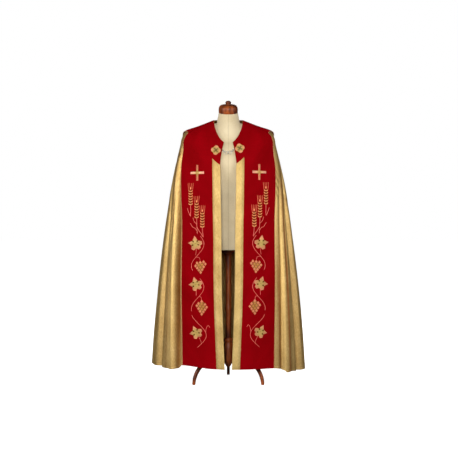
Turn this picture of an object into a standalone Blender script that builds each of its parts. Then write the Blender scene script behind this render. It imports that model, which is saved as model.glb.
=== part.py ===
"""A cope of gold cloth with red front panels, worn by a limbless dress form on a turned tripod stand.

The form's axis is upright and the front faces -Y. Left and right are as seen from the front. The cope
hangs on rings: each ring is a level in a table, open at the front, and a smooth curve carries the table
from the neckline to the hem. A point of the cloth is named by where it lies across (0 at the opening
edge, 1 where band and panel meet, 2 at the panel's outer edge, 3 at the centre back) and by its ring.
"""

import math

import bpy
import numpy as np
from mathutils import Matrix

# Sizes, in metres.
AXIS_Y = -0.065  # the form's upright axis: the whole part's box is centred on y = 0
SEAM = 0.0003  # gap between two pieces that touch
CLOTH = 0.0015  # wall of the gold cloth
TRIM_CLOTH = 0.0012  # wall of the red panels and the front bands
HOOD_CLOTH = 0.0020  # wall of the stiffened hood
BAND_WIDTH = 0.045
PIPING_WIDTH = 0.0032
PIPING_HEIGHT = 0.0018
POINTED_ROW = 2  # the ring where the red corner ends and the gold band starts
POINTED_RISE = {"left": 0.46, "right": 0.36}  # how far that line climbs across the band, in rings
POINTED_SHIFT = {"left": 0.28, "right": 0.06}  # how far it hangs lower on a side, in rings
POINTED_SEAM = SEAM / 0.035  # its gap in rings, which lie about 35 mm apart there
SIDES = {"left": -1, "right": 1}

# The rings, from the neckline to the hem. Depths are from the form's axis, + to the back.
# opening is half the gap between the front edges, panel_edge the panel's outer edge, both across;
# plan is the exponent of the ring seen from above, 2 for an ellipse; ridge is how sharply it crests.
RING_COLUMNS = (
    "half_width", "centre_y", "front_y", "back_y", "front_z", "side_z", "back_z",
    "opening", "panel_edge", "plan", "ridge",
)
RINGS = (
    (0.0820, -0.005, -0.135, 0.072, 1.345, 1.487, 1.500, 0.0240, 0.0820, 2.00, 1.3),
    (0.1650, -0.002, -0.149, 0.112, 1.283, 1.455, 1.423, 0.0375, 0.1650, 2.00, 1.6),
    (0.2420, 0.000, -0.158, 0.136, 1.228, 1.426, 1.352, 0.0445, 0.2325, 2.00, 1.8),
    (0.2655, 0.002, -0.161, 0.147, 1.203, 1.388, 1.312, 0.0440, 0.2515, 2.00, 1.8),
    (0.2750, 0.004, -0.163, 0.157, 1.172, 1.345, 1.268, 0.0435, 0.2520, 2.00, 1.8),
    (0.2980, 0.008, -0.166, 0.175, 1.105, 1.250, 1.185, 0.0425, 0.2630, 2.00, 1.9),
    (0.3250, 0.014, -0.169, 0.198, 1.015, 1.120, 1.070, 0.0415, 0.2630, 1.98, 2.0),
    (0.3507, 0.022, -0.173, 0.223, 0.900, 0.960, 0.930, 0.0390, 0.2570, 1.94, 2.0),
    (0.3727, 0.030, -0.177, 0.246, 0.770, 0.800, 0.785, 0.0375, 0.2570, 1.90, 2.0),
    (0.3925, 0.038, -0.182, 0.267, 0.625, 0.635, 0.630, 0.0365, 0.2590, 1.86, 2.0),
    (0.4115, 0.046, -0.188, 0.289, 0.460, 0.460, 0.460, 0.0335, 0.2580, 1.82, 2.0),
    (0.4300, 0.053, -0.194, 0.311, 0.280, 0.280, 0.280, 0.0270, 0.2550, 1.78, 2.0),
    (0.4450, 0.060, -0.200, 0.332, 0.0985, 0.082, 0.078, 0.0195, 0.2525, 1.75, 2.0),
)
RING = {name: np.array(values) for name, values in zip(RING_COLUMNS, zip(*RINGS))}
LAST_RING = len(RINGS) - 1

# The folds: troughs pressed into the gold cloth between the panel's edge and the centre back.
# Columns: where across at the hem, half width in the same measure, depth at the hem, ring where it starts,
# drift across in each ring.
TROUGHS = {
    "left": (
        (2.034, 0.032, 0.040, 2.5, 0.000),
        (2.204, 0.022, 0.026, 4.5, 0.007),
        (2.385, 0.038, 0.038, 3.6, 0.002),
        (2.532, 0.045, 0.044, 4.6, 0.000),
        (2.695, 0.043, 0.040, 4.4, 0.000),
        (2.860, 0.042, 0.038, 5.4, 0.000),
    ),
    "right": (
        (2.078, 0.017, 0.026, 5.0, 0.002),
        (2.236, 0.029, 0.048, 2.0, 0.010),
        (2.410, 0.036, 0.038, 4.2, 0.002),
        (2.548, 0.046, 0.042, 4.2, 0.000),
        (2.705, 0.042, 0.042, 5.0, 0.000),
        (2.865, 0.041, 0.036, 5.6, 0.000),
    ),
}
# Deeper tucks that ease out again. Columns: where across, half width, depth, first ring, last ring.
TUCKS = {"left": ((2.036, 0.036, 0.036, 3.5, 13.0),), "right": ()}
TROUGH_REACH = 1.35  # the length over which a fold deepens, so that it still does at the hem
TROUGH_HASTE = 0.65  # below 1, the power that makes it deepen early
TROUGH_CLEAR = (2.012, 0.022)  # the panel's edge stays flat up to here, and the folds are full this far on

# How far the hem hangs above (+) or below (-) its ring. Columns: where across, lift.
HEM = {
    "left": ((0.0, 0.0), (1.0, 0.002), (2.0, 0.0205), (2.03, 0.020), (2.055, -0.001), (2.09, -0.004),
             (2.13, 0.001), (2.175, 0.003), (2.20, 0.008), (2.25, 0.0105), (2.30, 0.018), (2.44, 0.004),
             (2.61, 0.012), (2.78, 0.002), (3.0, 0.006)),
    "right": ((0.0, 0.0), (1.0, 0.0), (2.0, 0.004), (2.06, 0.0), (2.085, -0.009), (2.11, -0.023),
              (2.15, -0.0165), (2.19, -0.018), (2.235, -0.020), (2.33, -0.015), (2.46, -0.018),
              (2.62, -0.006), (2.79, -0.010), (3.0, 0.006)),
}
HEM_RINGS = 2.0  # the rings above the hem that its rise and fall reaches

# The hood: across 0 at the centre back, 1 at its front edge, which laps over the shoulder's ridge.
HOOD_CORNER_RING = 1.85
HOOD_POINT_RING = 6.4
HOOD_SWEEP = 1.3  # how much its lower edge hollows between the corner and the point
HOOD_LIFT = 0.0027  # its underside over the gold cloth, just clear of the red panel
HOOD_TIP_LIFT = 0.0030  # more at its stiff side corners
HOOD_TIP_RINGS = (1.2, 1.4)  # the ring where that begins, and the rings over which it grows
HOOD_LAP = (0.03, 0.26)  # how far it laps over the ridge of the shoulder, in radians, at neck and corner

# Grids of the solids.
ROWS = (0, 0.5, 1, 1.5, 2, 2.5, 3, 4, 5, 6, 7, 8, 9, 10, 11, 12)
BAND_CELLS = 3
PANEL_CELLS = 8
GOLD_CELLS = ((2.0, 2.3, 22), (2.3, 3.0, 22))  # from, to and how many: finer where it faces front
HOOD_CELLS = 17  # across half of it
HOOD_ROWS = 10
ARC_SAMPLES = 400
STEP = 1e-3  # for slopes taken by differences
PLANE_SAMPLES = 61  # a fine grid of the panel near the clasp, down to the ring CLASP_RINGS
CLASP_RINGS = 3
PLANE_POINTS = 12

# The clasp: a rosette on each side and a chain between them.
ROSETTE_ACROSS = {"left": -0.0685, "right": 0.0640}
ROSETTE_HEIGHT = {"left": 1.308, "right": 1.319}
ROSETTE_TURN = {"left": -0.12, "right": 0.27}
ROSETTE_RADIUS = 0.0275
ROSETTE_WAIST = 0.76  # the radius between two petals, as a share
ROSETTE_THICK = 0.0018
ROSETTE_SIDES = 32
ROSETTE_RINGS = ((0.0, 1.25), (0.45, 1.15), (1.0, 0.8))  # share of the radius, share of the thickness
ROSETTE_LIFT = 0.0007
LINK_WIRE = 0.0011
LINK_SIDES = 14
WIRE_SIDES = 6
LINK = (0.0056, 0.0038)  # half length and half width, to the middle of the wire
HOOK_RING = (0.0088, 0.0088)
SMALL_RING = (0.0040, 0.0036)
CHAIN_ENDS = {"left": (-0.0335, 1.3090), "right": (0.0312, 1.3120)}  # across and height of the sewn eyes
CHAIN = (LINK, LINK, LINK, HOOK_RING, SMALL_RING, HOOK_RING, LINK, LINK, LINK)  # left to right

# The form and its stand.
FORM_GAP = 0.0007  # between the form's shoulders and the cloth that rests on them
FORM_EASE = 0.012  # how much further the form lies inside the cloth at the front and back
FORM_COLUMNS = (0, 2 / 3, 1, 1.25, 1.5, 1.625, 1.75, 1.875, 2)
FORM_GOLD_CELLS = (0, 3, 6, 10, 15, 22, 27, 32, 38)
FORM_SHOULDER_RINGS = (0.5, 1.0, 1.5)
FORM_RING_COLUMNS = (
    "half_width", "centre_y", "front_y", "back_y", "front_z", "side_z", "back_z",
)
NECK_TILT = math.radians(19)  # of the neck's top, down to the front
NECK = ((0.0550, 1.535, 1.0), (0.0585, 1.513, 0.8), (0.0640, 1.490, 0.6))  # radius, height, share of tilt
NECK_BASE = (0.0700, -0.004, -0.0950, 0.0680, 1.385, 1.474, 1.492)
NECK_BASE_RIDGE = 1.3
FORM_RIDGE = 1.8
FORM_BODY = (
    (0.2060, 0.000, -0.1400, 0.1180, 1.222, 1.402, 1.330),
    (0.1990, 0.000, -0.1380, 0.1180, 1.190, 1.350, 1.285),
    (0.1800, 0.000, -0.1300, 0.1120, 1.140, 1.250, 1.210),
    (0.1640, 0.000, -0.1180, 0.1020, 1.085, 1.140, 1.125),
    (0.1540, 0.000, -0.1060, 0.0950, 1.020, 1.035, 1.030),
    (0.1640, 0.000, -0.1120, 0.1060, 0.950, 0.950, 0.950),
    (0.1750, 0.000, -0.1180, 0.1160, 0.870, 0.870, 0.870),
    (0.1720, 0.000, -0.1150, 0.1140, 0.790, 0.790, 0.790),
    (0.1660, 0.000, -0.1100, 0.1090, 0.752, 0.752, 0.752),
)
CAP_PROFILE = (  # radius, height over the neck's top
    (0.0540, 0.0003), (0.0552, 0.0040), (0.0552, 0.0200), (0.0542, 0.0290), (0.0510, 0.0355),
    (0.0460, 0.0408), (0.0370, 0.0445), (0.0240, 0.0465), (0.0150, 0.0485), (0.0148, 0.0520),
    (0.0168, 0.0560), (0.0160, 0.0615), (0.0110, 0.0660), (0.0040, 0.0680),
)
POLE_PROFILE = (  # radius, height
    (0.0420, 0.7515), (0.0420, 0.7400), (0.0330, 0.7330), (0.0200, 0.7260), (0.0160, 0.7100),
    (0.0160, 0.4300), (0.0190, 0.4200), (0.0190, 0.4050), (0.0160, 0.3950), (0.0160, 0.2503),
)
HUB_PROFILE = (
    (0.0200, 0.2500), (0.0260, 0.2440), (0.0260, 0.2320), (0.0210, 0.2240), (0.0300, 0.2050),
    (0.0330, 0.1850), (0.0330, 0.1250), (0.0290, 0.1100), (0.0180, 0.0980), (0.0120, 0.0860),
)
LEG_COUNT = 3
LEG_START = (0.0335, 0.155)  # out from the axis, height
LEG_REACH = 0.222
LEG_HEIGHTS = (0.034, 0.017)  # of the leg's section at the hub and at the foot
LEG_WIDTHS = (0.022, 0.018)
LEG_SECTIONS = 12
LEG_SIDES = 8
TURNED_SIDES = 20

GOLD = ((0.57, 0.37, 0.12), 0.38, 0.55)
BAND_GOLD = ((0.62, 0.41, 0.14), 0.38, 0.55)
RED = ((0.28, 0.0, 0.005), 0.85, 0.0)
EMBROIDERY = ((0.60, 0.36, 0.10), 0.45, 0.35)
METAL = ((0.55, 0.54, 0.52), 0.30, 1.0)
CANVAS = ((0.69, 0.58, 0.38), 0.85, 0.0)
WOOD = ((0.20, 0.045, 0.012), 0.25, 0.0)


def smooth_step(x):
    x = np.clip(x, 0.0, 1.0)
    return x * x * (3 - 2 * x)


def smooth_along(values, v):
    """values, one row a ring, read at ring v by a Catmull-Rom curve through them."""
    padded = np.concatenate([[2 * values[0] - values[1]], values, [2 * values[-1] - values[-2]]])
    k = np.clip(np.floor(v).astype(int), 0, len(values) - 2)
    f = v - k
    column = () if values.ndim == 1 else (np.arange(k.shape[-1]),)
    a, b, c, d = (padded[(k + i, *column)] for i in range(4))
    return b + 0.5 * f * (c - a + f * (2 * a - 5 * b + 4 * c - d + f * (3 * (b - c) + d - a)))


def ring_point(t, ring):
    """Points at the angles t, 0 at the front and pi at the back, of a ring given by its named sizes."""
    front = t < math.pi / 2
    power = 2 / ring["plan"]
    toward = np.abs(np.cos(t))
    x = ring["half_width"] * np.abs(np.sin(t)) ** power
    reach = np.where(front, ring["front_y"], ring["back_y"]) - ring["centre_y"]
    end_z = np.where(front, ring["front_z"], ring["back_z"])
    y = ring["centre_y"] + reach * toward**power
    z = ring["side_z"] + (end_z - ring["side_z"]) * toward ** ring["ridge"]
    return np.stack([x, y + AXIS_Y, z], axis=-1)


def envelope(t, v):
    """The smooth outer form of the cope on its right side, at the angle t and the ring v."""
    return ring_point(t, {name: smooth_along(values, v) for name, values in RING.items()})


def angle_on_ring(k, across, extra):
    """The angle on ring k of places across it, measured along the ring seen from above."""
    ring = {name: values[k] for name, values in RING.items()}
    first = math.asin((ring["opening"] / ring["half_width"]) ** (ring["plan"] / 2))
    panel = math.asin((ring["panel_edge"] / ring["half_width"]) ** (ring["plan"] / 2))
    t = np.linspace(first, math.pi, ARC_SAMPLES)
    steps = np.diff(ring_point(t, ring)[:, :2], axis=0)
    arc = np.concatenate([[0.0], np.cumsum(np.hypot(steps[:, 0], steps[:, 1]))])
    panel_arc = np.interp(panel, t, arc)
    marks = (0.0, BAND_WIDTH, panel_arc, arc[-1])
    return np.interp(np.interp(across, (0, 1, 2, 3), marks) + extra, arc, t)


def angle(across, v, extra):
    rings = np.array([angle_on_ring(k, across, extra) for k in range(LAST_RING + 1)])
    return smooth_along(rings, v)


def table(rows):
    return np.array(rows).T


def trough_depth(side, across, v):
    """How deep the folds press in: a bell across each, growing down from its first ring to the hem."""
    depth = np.zeros(np.broadcast(across, v).shape)
    for at, half_width, deep, first, drift in TROUGHS[side]:
        growth = smooth_step((v - first) / (TROUGH_REACH * (LAST_RING - first))) ** TROUGH_HASTE
        depth += deep * np.exp(-(((across - at - drift * (v - LAST_RING)) / half_width) ** 2)) * growth
    for at, half_width, deep, first, last in TUCKS[side]:
        growth = np.sin(math.pi * np.clip((v - first) / (last - first), 0, 1)) ** 1.5
        depth += deep * np.exp(-(((across - at) / half_width) ** 2)) * growth
    edge, clear = TROUGH_CLEAR
    return depth * smooth_step((across - edge) / clear)


def eased(x, rows):
    """A table's second column read at x of its first, with a smooth step between its rows."""
    places, values = table(rows)
    k = np.clip(np.searchsorted(places, x, side="right") - 1, 0, len(places) - 2)
    share = (x - places[k]) / (places[k + 1] - places[k])
    return values[k] + (values[k + 1] - values[k]) * smooth_step(share)


def cope_surface(side, across, v, extra):
    """Outer points of the gold cloth: the envelope, pressed in level by the folds, with the hem's rise."""
    t = angle(across, v, extra)
    points = envelope(t, v)
    ahead = envelope(np.minimum(t + STEP, math.pi), v) - envelope(t - STEP, v)
    outward = np.stack([ahead[..., 1], -ahead[..., 0], 0 * t], axis=-1)
    outward /= np.linalg.norm(outward, axis=-1, keepdims=True)
    points = points - outward * trough_depth(side, across, v)[..., None]
    near_hem = smooth_step((v - LAST_RING + HEM_RINGS) / HEM_RINGS)
    points[..., 2] += eased(across, HEM[side]) * near_hem
    return points


def cope_grid(side, across, v, extra):
    """Outer points and outward directions of the cloth at a grid of places, v a row for each grid row."""
    points = cope_surface(side, across, v, extra)
    over = cope_surface(side, np.minimum(across + STEP, 3), v, extra)
    over -= cope_surface(side, np.maximum(across - STEP, 0), v, extra)
    down = cope_surface(side, across, np.minimum(v + STEP, LAST_RING), extra)
    down -= cope_surface(side, across, np.maximum(v - STEP, 0), extra)
    normals = np.cross(down, over)
    normals /= np.linalg.norm(normals, axis=-1, keepdims=True)
    mirror = np.array([SIDES[side], 1, 1])
    return points * mirror, normals * mirror


def pointed_rows(side, rows, across, seam=0.0):
    """Ring numbers of a grid whose row at the red corner climbs across the band and settles beyond it."""
    climb = np.interp(across, (0, 1, 2), (0, 1, 0))
    lower = np.interp(across, (0, 1, 2), (1, 1, 0)) * POINTED_SHIFT[side]
    rows = np.repeat(np.asarray(rows, float)[:, None], len(across), axis=1)
    at_point = np.isclose(rows, POINTED_ROW)
    return np.where(at_point, rows - POINTED_RISE[side] * climb + lower + seam, rows)


def material(name, finish):
    colour, roughness, metallic = finish
    made = bpy.data.materials.new(name)
    made.use_nodes = True
    shader = made.node_tree.nodes["Principled BSDF"]
    shader.inputs["Base Color"].default_value = (*colour, 1)
    shader.inputs["Roughness"].default_value = roughness
    shader.inputs["Metallic"].default_value = metallic
    made.diffuse_color = (*colour, 1)
    return made


def piece(name, points, faces, made_of):
    mesh = bpy.data.meshes.new(name)
    mesh.from_pydata(np.asarray(points).tolist(), [], np.asarray(faces).tolist())
    mesh.update()
    mesh.shade_smooth()
    mesh.set_sharp_from_angle(angle=math.radians(40))
    mesh.materials.append(material(name, made_of))
    made = bpy.data.objects.new(name, mesh)
    bpy.context.scene.collection.objects.link(made)
    return made


def wall(name, outer, inner, made_of, mirrored, keep=None):
    """A closed wall of cloth between two grids of points, where keep marks the cells that are cloth."""
    rows, columns = outer.shape[:2]
    keep = np.ones((rows - 1, columns - 1), bool) if keep is None else keep
    index = np.arange(rows * columns).reshape(rows, columns)
    corners = (index[:-1, :-1], index[:-1, 1:], index[1:, 1:], index[1:, :-1])
    a, b, c, d = (corner[keep] for corner in corners)
    top = np.concatenate([np.stack([a, d, c], 1), np.stack([a, c, b], 1)])
    ends = np.concatenate([np.stack(pair, 1) for pair in ((a, d), (d, c), (c, b), (b, a))])
    keys = ends[:, 0] * rows * columns + ends[:, 1]
    reverse = ends[:, 1] * rows * columns + ends[:, 0]
    rim = ends[~np.isin(keys, reverse)]
    under = rows * columns
    rim_faces = np.concatenate([
        np.stack([rim[:, 1], rim[:, 0], rim[:, 0] + under], 1),
        np.stack([rim[:, 1], rim[:, 0] + under, rim[:, 1] + under], 1),
    ])
    faces = np.concatenate([top, top[:, ::-1] + under, rim_faces])
    used, faces = np.unique(faces, return_inverse=True)
    faces = faces.reshape(-1, 3)
    points = np.concatenate([outer.reshape(-1, 3), inner.reshape(-1, 3)])[used]
    return piece(name, points, faces[:, ::-1] if mirrored else faces, made_of)


def gold_columns():
    """Places across the gold cloth from the panel's edge to the centre back."""
    stretches = [np.linspace(start, end, cells + 1)[:-1] for start, end, cells in GOLD_CELLS]
    return np.append(np.concatenate(stretches), GOLD_CELLS[-1][1])


def cope_columns():
    """Places across the gold cloth, and how far past them each column lies, in metres."""
    band = np.linspace(0, 1, BAND_CELLS + 1)
    panel = np.linspace(1, 2, PANEL_CELLS + 1)[1:]
    across = np.concatenate([band, panel, gold_columns()])
    extra = np.where(np.arange(len(across)) == len(band) + len(panel), PIPING_WIDTH + 2 * SEAM, 0.0)
    return across, extra


def make_cape(side):
    across, extra = cope_columns()
    outer, normals = cope_grid(side, across, pointed_rows(side, ROWS, across), extra)
    inner = outer - CLOTH * normals
    for grid in (outer, inner):
        grid[:, -1, 0] = SIDES[side] * SEAM / 2
    return wall(f"cape_{side}", outer, inner, GOLD, side == "left")


def laid_on(side, across, v, extra, lift, thickness):
    """Inner and outer points of a piece that lies on the gold cloth, made from the cloth's points."""
    points, normals = cope_grid(side, across, v, extra)
    return points + (lift + thickness) * normals, points + lift * normals


def make_band(side):
    across = np.linspace(0, 1, BAND_CELLS + 1)
    extra = np.where(across == 1, -SEAM / 2, 0.0)
    rows = [row for row in ROWS if row >= POINTED_ROW]
    v = pointed_rows(side, rows, across, POINTED_SEAM / 2)
    outer, inner = laid_on(side, across, v, extra, SEAM, TRIM_CLOTH)
    return wall(f"front_band_{side}", outer, inner, BAND_GOLD, side == "left")


def make_panel(side):
    across = np.linspace(0, 1, BAND_CELLS + 1)
    across = np.concatenate([across, np.linspace(1, 2, PANEL_CELLS + 1)[1:]])
    extra = np.where(across == 1, SEAM / 2, 0.0)
    v = pointed_rows(side, ROWS, across, -POINTED_SEAM / 2)
    outer, inner = laid_on(side, across, v, extra, SEAM, TRIM_CLOTH)
    keep = np.ones((len(ROWS) - 1, len(across) - 1), bool)
    keep[ROWS.index(POINTED_ROW):, :BAND_CELLS] = False
    return wall(f"front_panel_{side}", outer, inner, RED, side == "left", keep)


def make_piping(side):
    across = np.array([2.0, 2.0])
    extra = np.array([SEAM, SEAM + PIPING_WIDTH])
    rows = [row for row in ROWS if row >= 1.5]
    v = np.repeat(np.asarray(rows, float)[:, None], 2, axis=1)
    outer, inner = laid_on(side, across, v, extra, SEAM, PIPING_HEIGHT)
    return wall(f"piping_{side}", outer, inner, BAND_GOLD, side == "left")


def hood_surface(h, v):
    """Points of the envelope under the hood, where h is 0 at the centre back and 1 at its front edge."""
    lap = HOOD_LAP[0] + (HOOD_LAP[1] - HOOD_LAP[0]) * smooth_step(v / HOOD_CORNER_RING)
    return envelope(math.pi - h * (math.pi / 2 + lap), v)


def make_hood():
    h = np.abs(np.linspace(-1, 1, 2 * HOOD_CELLS + 1))
    lowest = HOOD_CORNER_RING + (HOOD_POINT_RING - HOOD_CORNER_RING) * (1 - h) ** HOOD_SWEEP
    v = np.linspace(0, 1, HOOD_ROWS + 1)[:, None] * lowest
    h = np.repeat(h[None], len(v), axis=0)
    points = hood_surface(h, v)
    over = hood_surface(h + STEP, v) - hood_surface(h - STEP, v)
    down = hood_surface(h, v + STEP) - hood_surface(h, np.maximum(v - STEP, 0))
    normals = np.cross(over, down)
    normals /= np.linalg.norm(normals, axis=-1, keepdims=True)
    first, grown = HOOD_TIP_RINGS
    lift = HOOD_LIFT + HOOD_TIP_LIFT * smooth_step((v - first) / grown) * h**3
    mirror = np.ones(points.shape)
    mirror[:, :HOOD_CELLS, 0] = -1
    inner = (points + lift[..., None] * normals) * mirror
    outer = (points + (lift + HOOD_CLOTH)[..., None] * normals) * mirror
    return wall("hood", outer, inner, RED, True)


def panel_plane(side, x, z):
    """The plane y = a * x + b * z + c that fits the red panel's top round a place seen from the front."""
    across = np.linspace(0, 2, PLANE_SAMPLES)
    v = np.repeat(np.linspace(0, CLASP_RINGS, PLANE_SAMPLES)[:, None], PLANE_SAMPLES, axis=1)
    points, normals = cope_grid(side, across, v, 0.0)
    points = (points + (SEAM + TRIM_CLOTH) * normals).reshape(-1, 3)
    near = np.argsort((points[:, 0] - x) ** 2 + (points[:, 2] - z) ** 2)[:PLANE_POINTS]
    fit = np.c_[points[near][:, [0, 2]], np.ones(PLANE_POINTS)]
    return np.linalg.lstsq(fit, points[near][:, 1], rcond=None)[0]


def rosette_radius(turn):
    """Four rounded petals: a square with soft corners, drawn in between them."""
    petal = np.abs(np.cos(2 * turn)) ** 1.2
    return ROSETTE_RADIUS * (ROSETTE_WAIST + (1 - ROSETTE_WAIST) * petal)


def make_rosette(side):
    x, z = ROSETTE_ACROSS[side], ROSETTE_HEIGHT[side]
    slope_x, slope_z, level = panel_plane(side, x, z)
    turns = np.linspace(0, 2 * math.pi, ROSETTE_SIDES, endpoint=False)
    radius = rosette_radius(turns)
    (_, crown), *rings = ROSETTE_RINGS
    flat, dome = [np.zeros((1, 2))], [[crown]]
    for share, thick in rings:
        flat.append(share * radius[:, None] * np.stack([np.cos(turns + ROSETTE_TURN[side]),
                                                        np.sin(turns + ROSETTE_TURN[side])], 1))
        dome.append(np.full(ROSETTE_SIDES, thick))
    flat, dome = np.concatenate(flat), ROSETTE_THICK * np.concatenate(dome)
    back_y = slope_x * (x + flat[:, 0]) + slope_z * (z + flat[:, 1]) + level - ROSETTE_LIFT
    back = np.stack([x + flat[:, 0], back_y, z + flat[:, 1]], 1)
    front = back - np.stack([0 * dome, dome, 0 * dome], 1)
    under = len(flat)
    inner = 1 + np.arange(ROSETTE_SIDES)
    rim = inner + ROSETTE_SIDES
    inner_next, rim_next = np.roll(inner, -1), np.roll(rim, -1)
    top = np.concatenate([
        np.stack([0 * inner, inner, inner_next], 1),
        np.stack([inner, rim, rim_next], 1),
        np.stack([inner, rim_next, inner_next], 1),
    ])
    edge = np.concatenate([
        np.stack([rim, rim + under, rim_next + under], 1),
        np.stack([rim, rim_next + under, rim_next], 1),
    ])
    faces = np.concatenate([top, top[:, ::-1] + under, edge])
    return piece(f"rosette_{side}", np.concatenate([front, back]), faces, EMBROIDERY)


def ring_mesh(half_length, half_width):
    """A closed oval ring of round wire in the XZ plane, long in X."""
    turn = np.linspace(0, 2 * math.pi, LINK_SIDES, endpoint=False)[:, None]
    around = np.linspace(0, 2 * math.pi, WIRE_SIDES, endpoint=False)[None]
    out = LINK_WIRE * np.cos(around)
    points = np.stack([(half_length + out) * np.cos(turn), LINK_WIRE * np.sin(around) + 0 * turn,
                       (half_width + out) * np.sin(turn)], -1)
    index = np.arange(points[..., 0].size).reshape(points.shape[:2])
    ahead, beside = np.roll(index, -1, 0), np.roll(index, -1, 1)
    corner = np.roll(ahead, -1, 1)
    faces = np.concatenate([
        np.stack([index, corner, ahead], -1).reshape(-1, 3),
        np.stack([index, beside, corner], -1).reshape(-1, 3),
    ])
    return points.reshape(-1, 3), faces


def make_chain():
    """Oval links from an eye on each side, hanging in a bow to two round hook rings in the middle.

    Each eye lies on the panel at the opening's edge, just inside its rosette. Every second link is
    turned edge-on, so that each passes through its neighbours.
    """
    reach = np.array([link[0] for link in CHAIN])
    spacing = reach[:-1] + reach[1:] - 2 * LINK_WIRE - SEAM
    (left_x, left_z), (right_x, right_z) = (CHAIN_ENDS[side] for side in SIDES)
    span = right_x - left_x
    sag = span * math.sqrt(3 / 8 * (spacing.sum() / span - 1))
    share = np.linspace(0, 1, ARC_SAMPLES)
    bow = np.stack([left_x + span * share,
                    left_z + (right_z - left_z) * share - 4 * sag * share * (1 - share)], 1)
    arc = np.concatenate([[0], np.cumsum(np.linalg.norm(np.diff(bow, axis=0), axis=1))])
    at = np.concatenate([[0], np.cumsum(spacing)]) / spacing.sum() * arc[-1]
    x, z = (np.interp(at, arc, bow[:, k]) for k in (0, 1))
    lean = np.arctan2(np.gradient(z), np.gradient(x))
    seats = [np.dot(panel_plane(side, *CHAIN_ENDS[side]), (*CHAIN_ENDS[side], 1)) for side in SIDES]
    y = np.interp(x, (left_x, right_x), seats) - LINK[1] - LINK_WIRE - SEAM
    for number, (half_length, half_width) in enumerate(CHAIN):
        points, faces = ring_mesh(half_length, half_width)
        place = Matrix.Rotation(-lean[number], 3, "Y")
        if number % 2 == 0:
            place = place @ Matrix.Rotation(math.radians(90), 3, "X")
        points = points @ np.array(place).T + (x[number], y[number], z[number])
        piece(f"chain_{number + 1}", points, faces, METAL)


def turned(name, profile, sides, made_of):
    """A lathe-turned solid on the form's axis, from a profile of radius and height, top to bottom."""
    profile = np.array(profile)
    if profile[0, 1] < profile[-1, 1]:
        profile = profile[::-1]
    turn = np.linspace(0, 2 * math.pi, sides, endpoint=False)
    rings = [np.stack([r * np.cos(turn), r * np.sin(turn), 0 * turn + z], 1) for r, z in profile]
    points = np.concatenate([[(0, 0, profile[0, 1])], *rings, [(0, 0, profile[-1, 1])]])
    faces = []
    for j in range(sides):
        k = (j + 1) % sides
        faces.append((0, 1 + j, 1 + k))
        for i in range(len(profile) - 1):
            upper, lower = 1 + i * sides, 1 + (i + 1) * sides
            faces += [(upper + j, lower + j, lower + k), (upper + j, lower + k, upper + k)]
        last = 1 + (len(profile) - 1) * sides
        faces.append((len(points) - 1, last + k, last + j))
    return piece(name, points, faces, made_of)


def form_columns():
    """Places across that the form shares with the cloth, so that it fits close under the shoulders,
    and how far past them each lies."""
    gold = gold_columns()[list(FORM_GOLD_CELLS)]
    across = np.concatenate([FORM_COLUMNS, gold])
    return across, np.where(np.arange(len(across)) == len(FORM_COLUMNS), PIPING_WIDTH + 2 * SEAM, 0.0)


def make_form():
    """The padded torso: neck, shoulders that fill the cope's own rings, then chest, waist and hip."""
    across, extra = form_columns()

    def angles(v):
        shared = angle(across, np.full((1, len(across)), float(v)), extra)[0]
        return np.concatenate([[0.0], shared, [math.pi]])

    def shoulder_ring(v):
        t = angles(v)
        w = np.full(len(t), float(v))
        points = envelope(t, w)
        over = envelope(t + STEP, w) - envelope(t - STEP, w)
        over[0], over[-1] = (1, 0, 0), (-1, 0, 0)
        down = envelope(t, w + STEP) - envelope(t, w - STEP)
        normals = np.cross(down, over)
        normals /= np.linalg.norm(normals, axis=-1, keepdims=True)
        ease = CLOTH + FORM_GAP + FORM_EASE * np.cos(t) ** 2
        return points - ease[:, None] * normals

    def plain_ring(row, ridge=FORM_RIDGE):
        ring = dict(zip(FORM_RING_COLUMNS, row), plan=2.0, ridge=ridge)
        return ring_point(angles(FORM_SHOULDER_RINGS[-1]), ring)

    def neck_ring(radius, height, tilt_share):
        drop = radius * math.tan(NECK_TILT) * tilt_share
        return plain_ring((radius, 0, -radius, radius, height - drop, height, height + drop), 1.0)

    rings = [neck_ring(*row) for row in NECK]
    rings.append(plain_ring(NECK_BASE, NECK_BASE_RIDGE))
    rings += [shoulder_ring(v) for v in FORM_SHOULDER_RINGS]
    rings += [plain_ring(row) for row in FORM_BODY]
    halves = np.array(rings)
    other = halves[:, -2:0:-1] * (-1, 1, 1)
    halves[:, 0, 0] = halves[:, -1, 0] = 0
    loops = np.concatenate([halves, other], axis=1)
    rows, columns = loops.shape[:2]
    index = np.arange(rows * columns).reshape(rows, columns)
    beside = np.roll(index, -1, 1)
    faces = np.concatenate([
        np.stack([index[:-1], index[1:], beside[1:]], -1).reshape(-1, 3),
        np.stack([index[:-1], beside[1:], beside[:-1]], -1).reshape(-1, 3),
    ])
    points = np.concatenate([loops.reshape(-1, 3), [loops[0].mean(0)], [loops[-1].mean(0)]])
    top, bottom = rows * columns, rows * columns + 1
    caps = [(top, index[0, j], beside[0, j]) for j in range(columns)]
    caps += [(bottom, beside[-1, j], index[-1, j]) for j in range(columns)]
    return piece("form_torso", points, np.concatenate([faces, caps]), CANVAS)


def make_cap():
    """The turned wooden cap of the neck with its knob, tilted forward with the neck's top."""
    made = turned("neck_cap", CAP_PROFILE, TURNED_SIDES, WOOD)
    made.location = (0, AXIS_Y, NECK[0][1])
    made.rotation_euler = (NECK_TILT, 0, 0)
    return made


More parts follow.
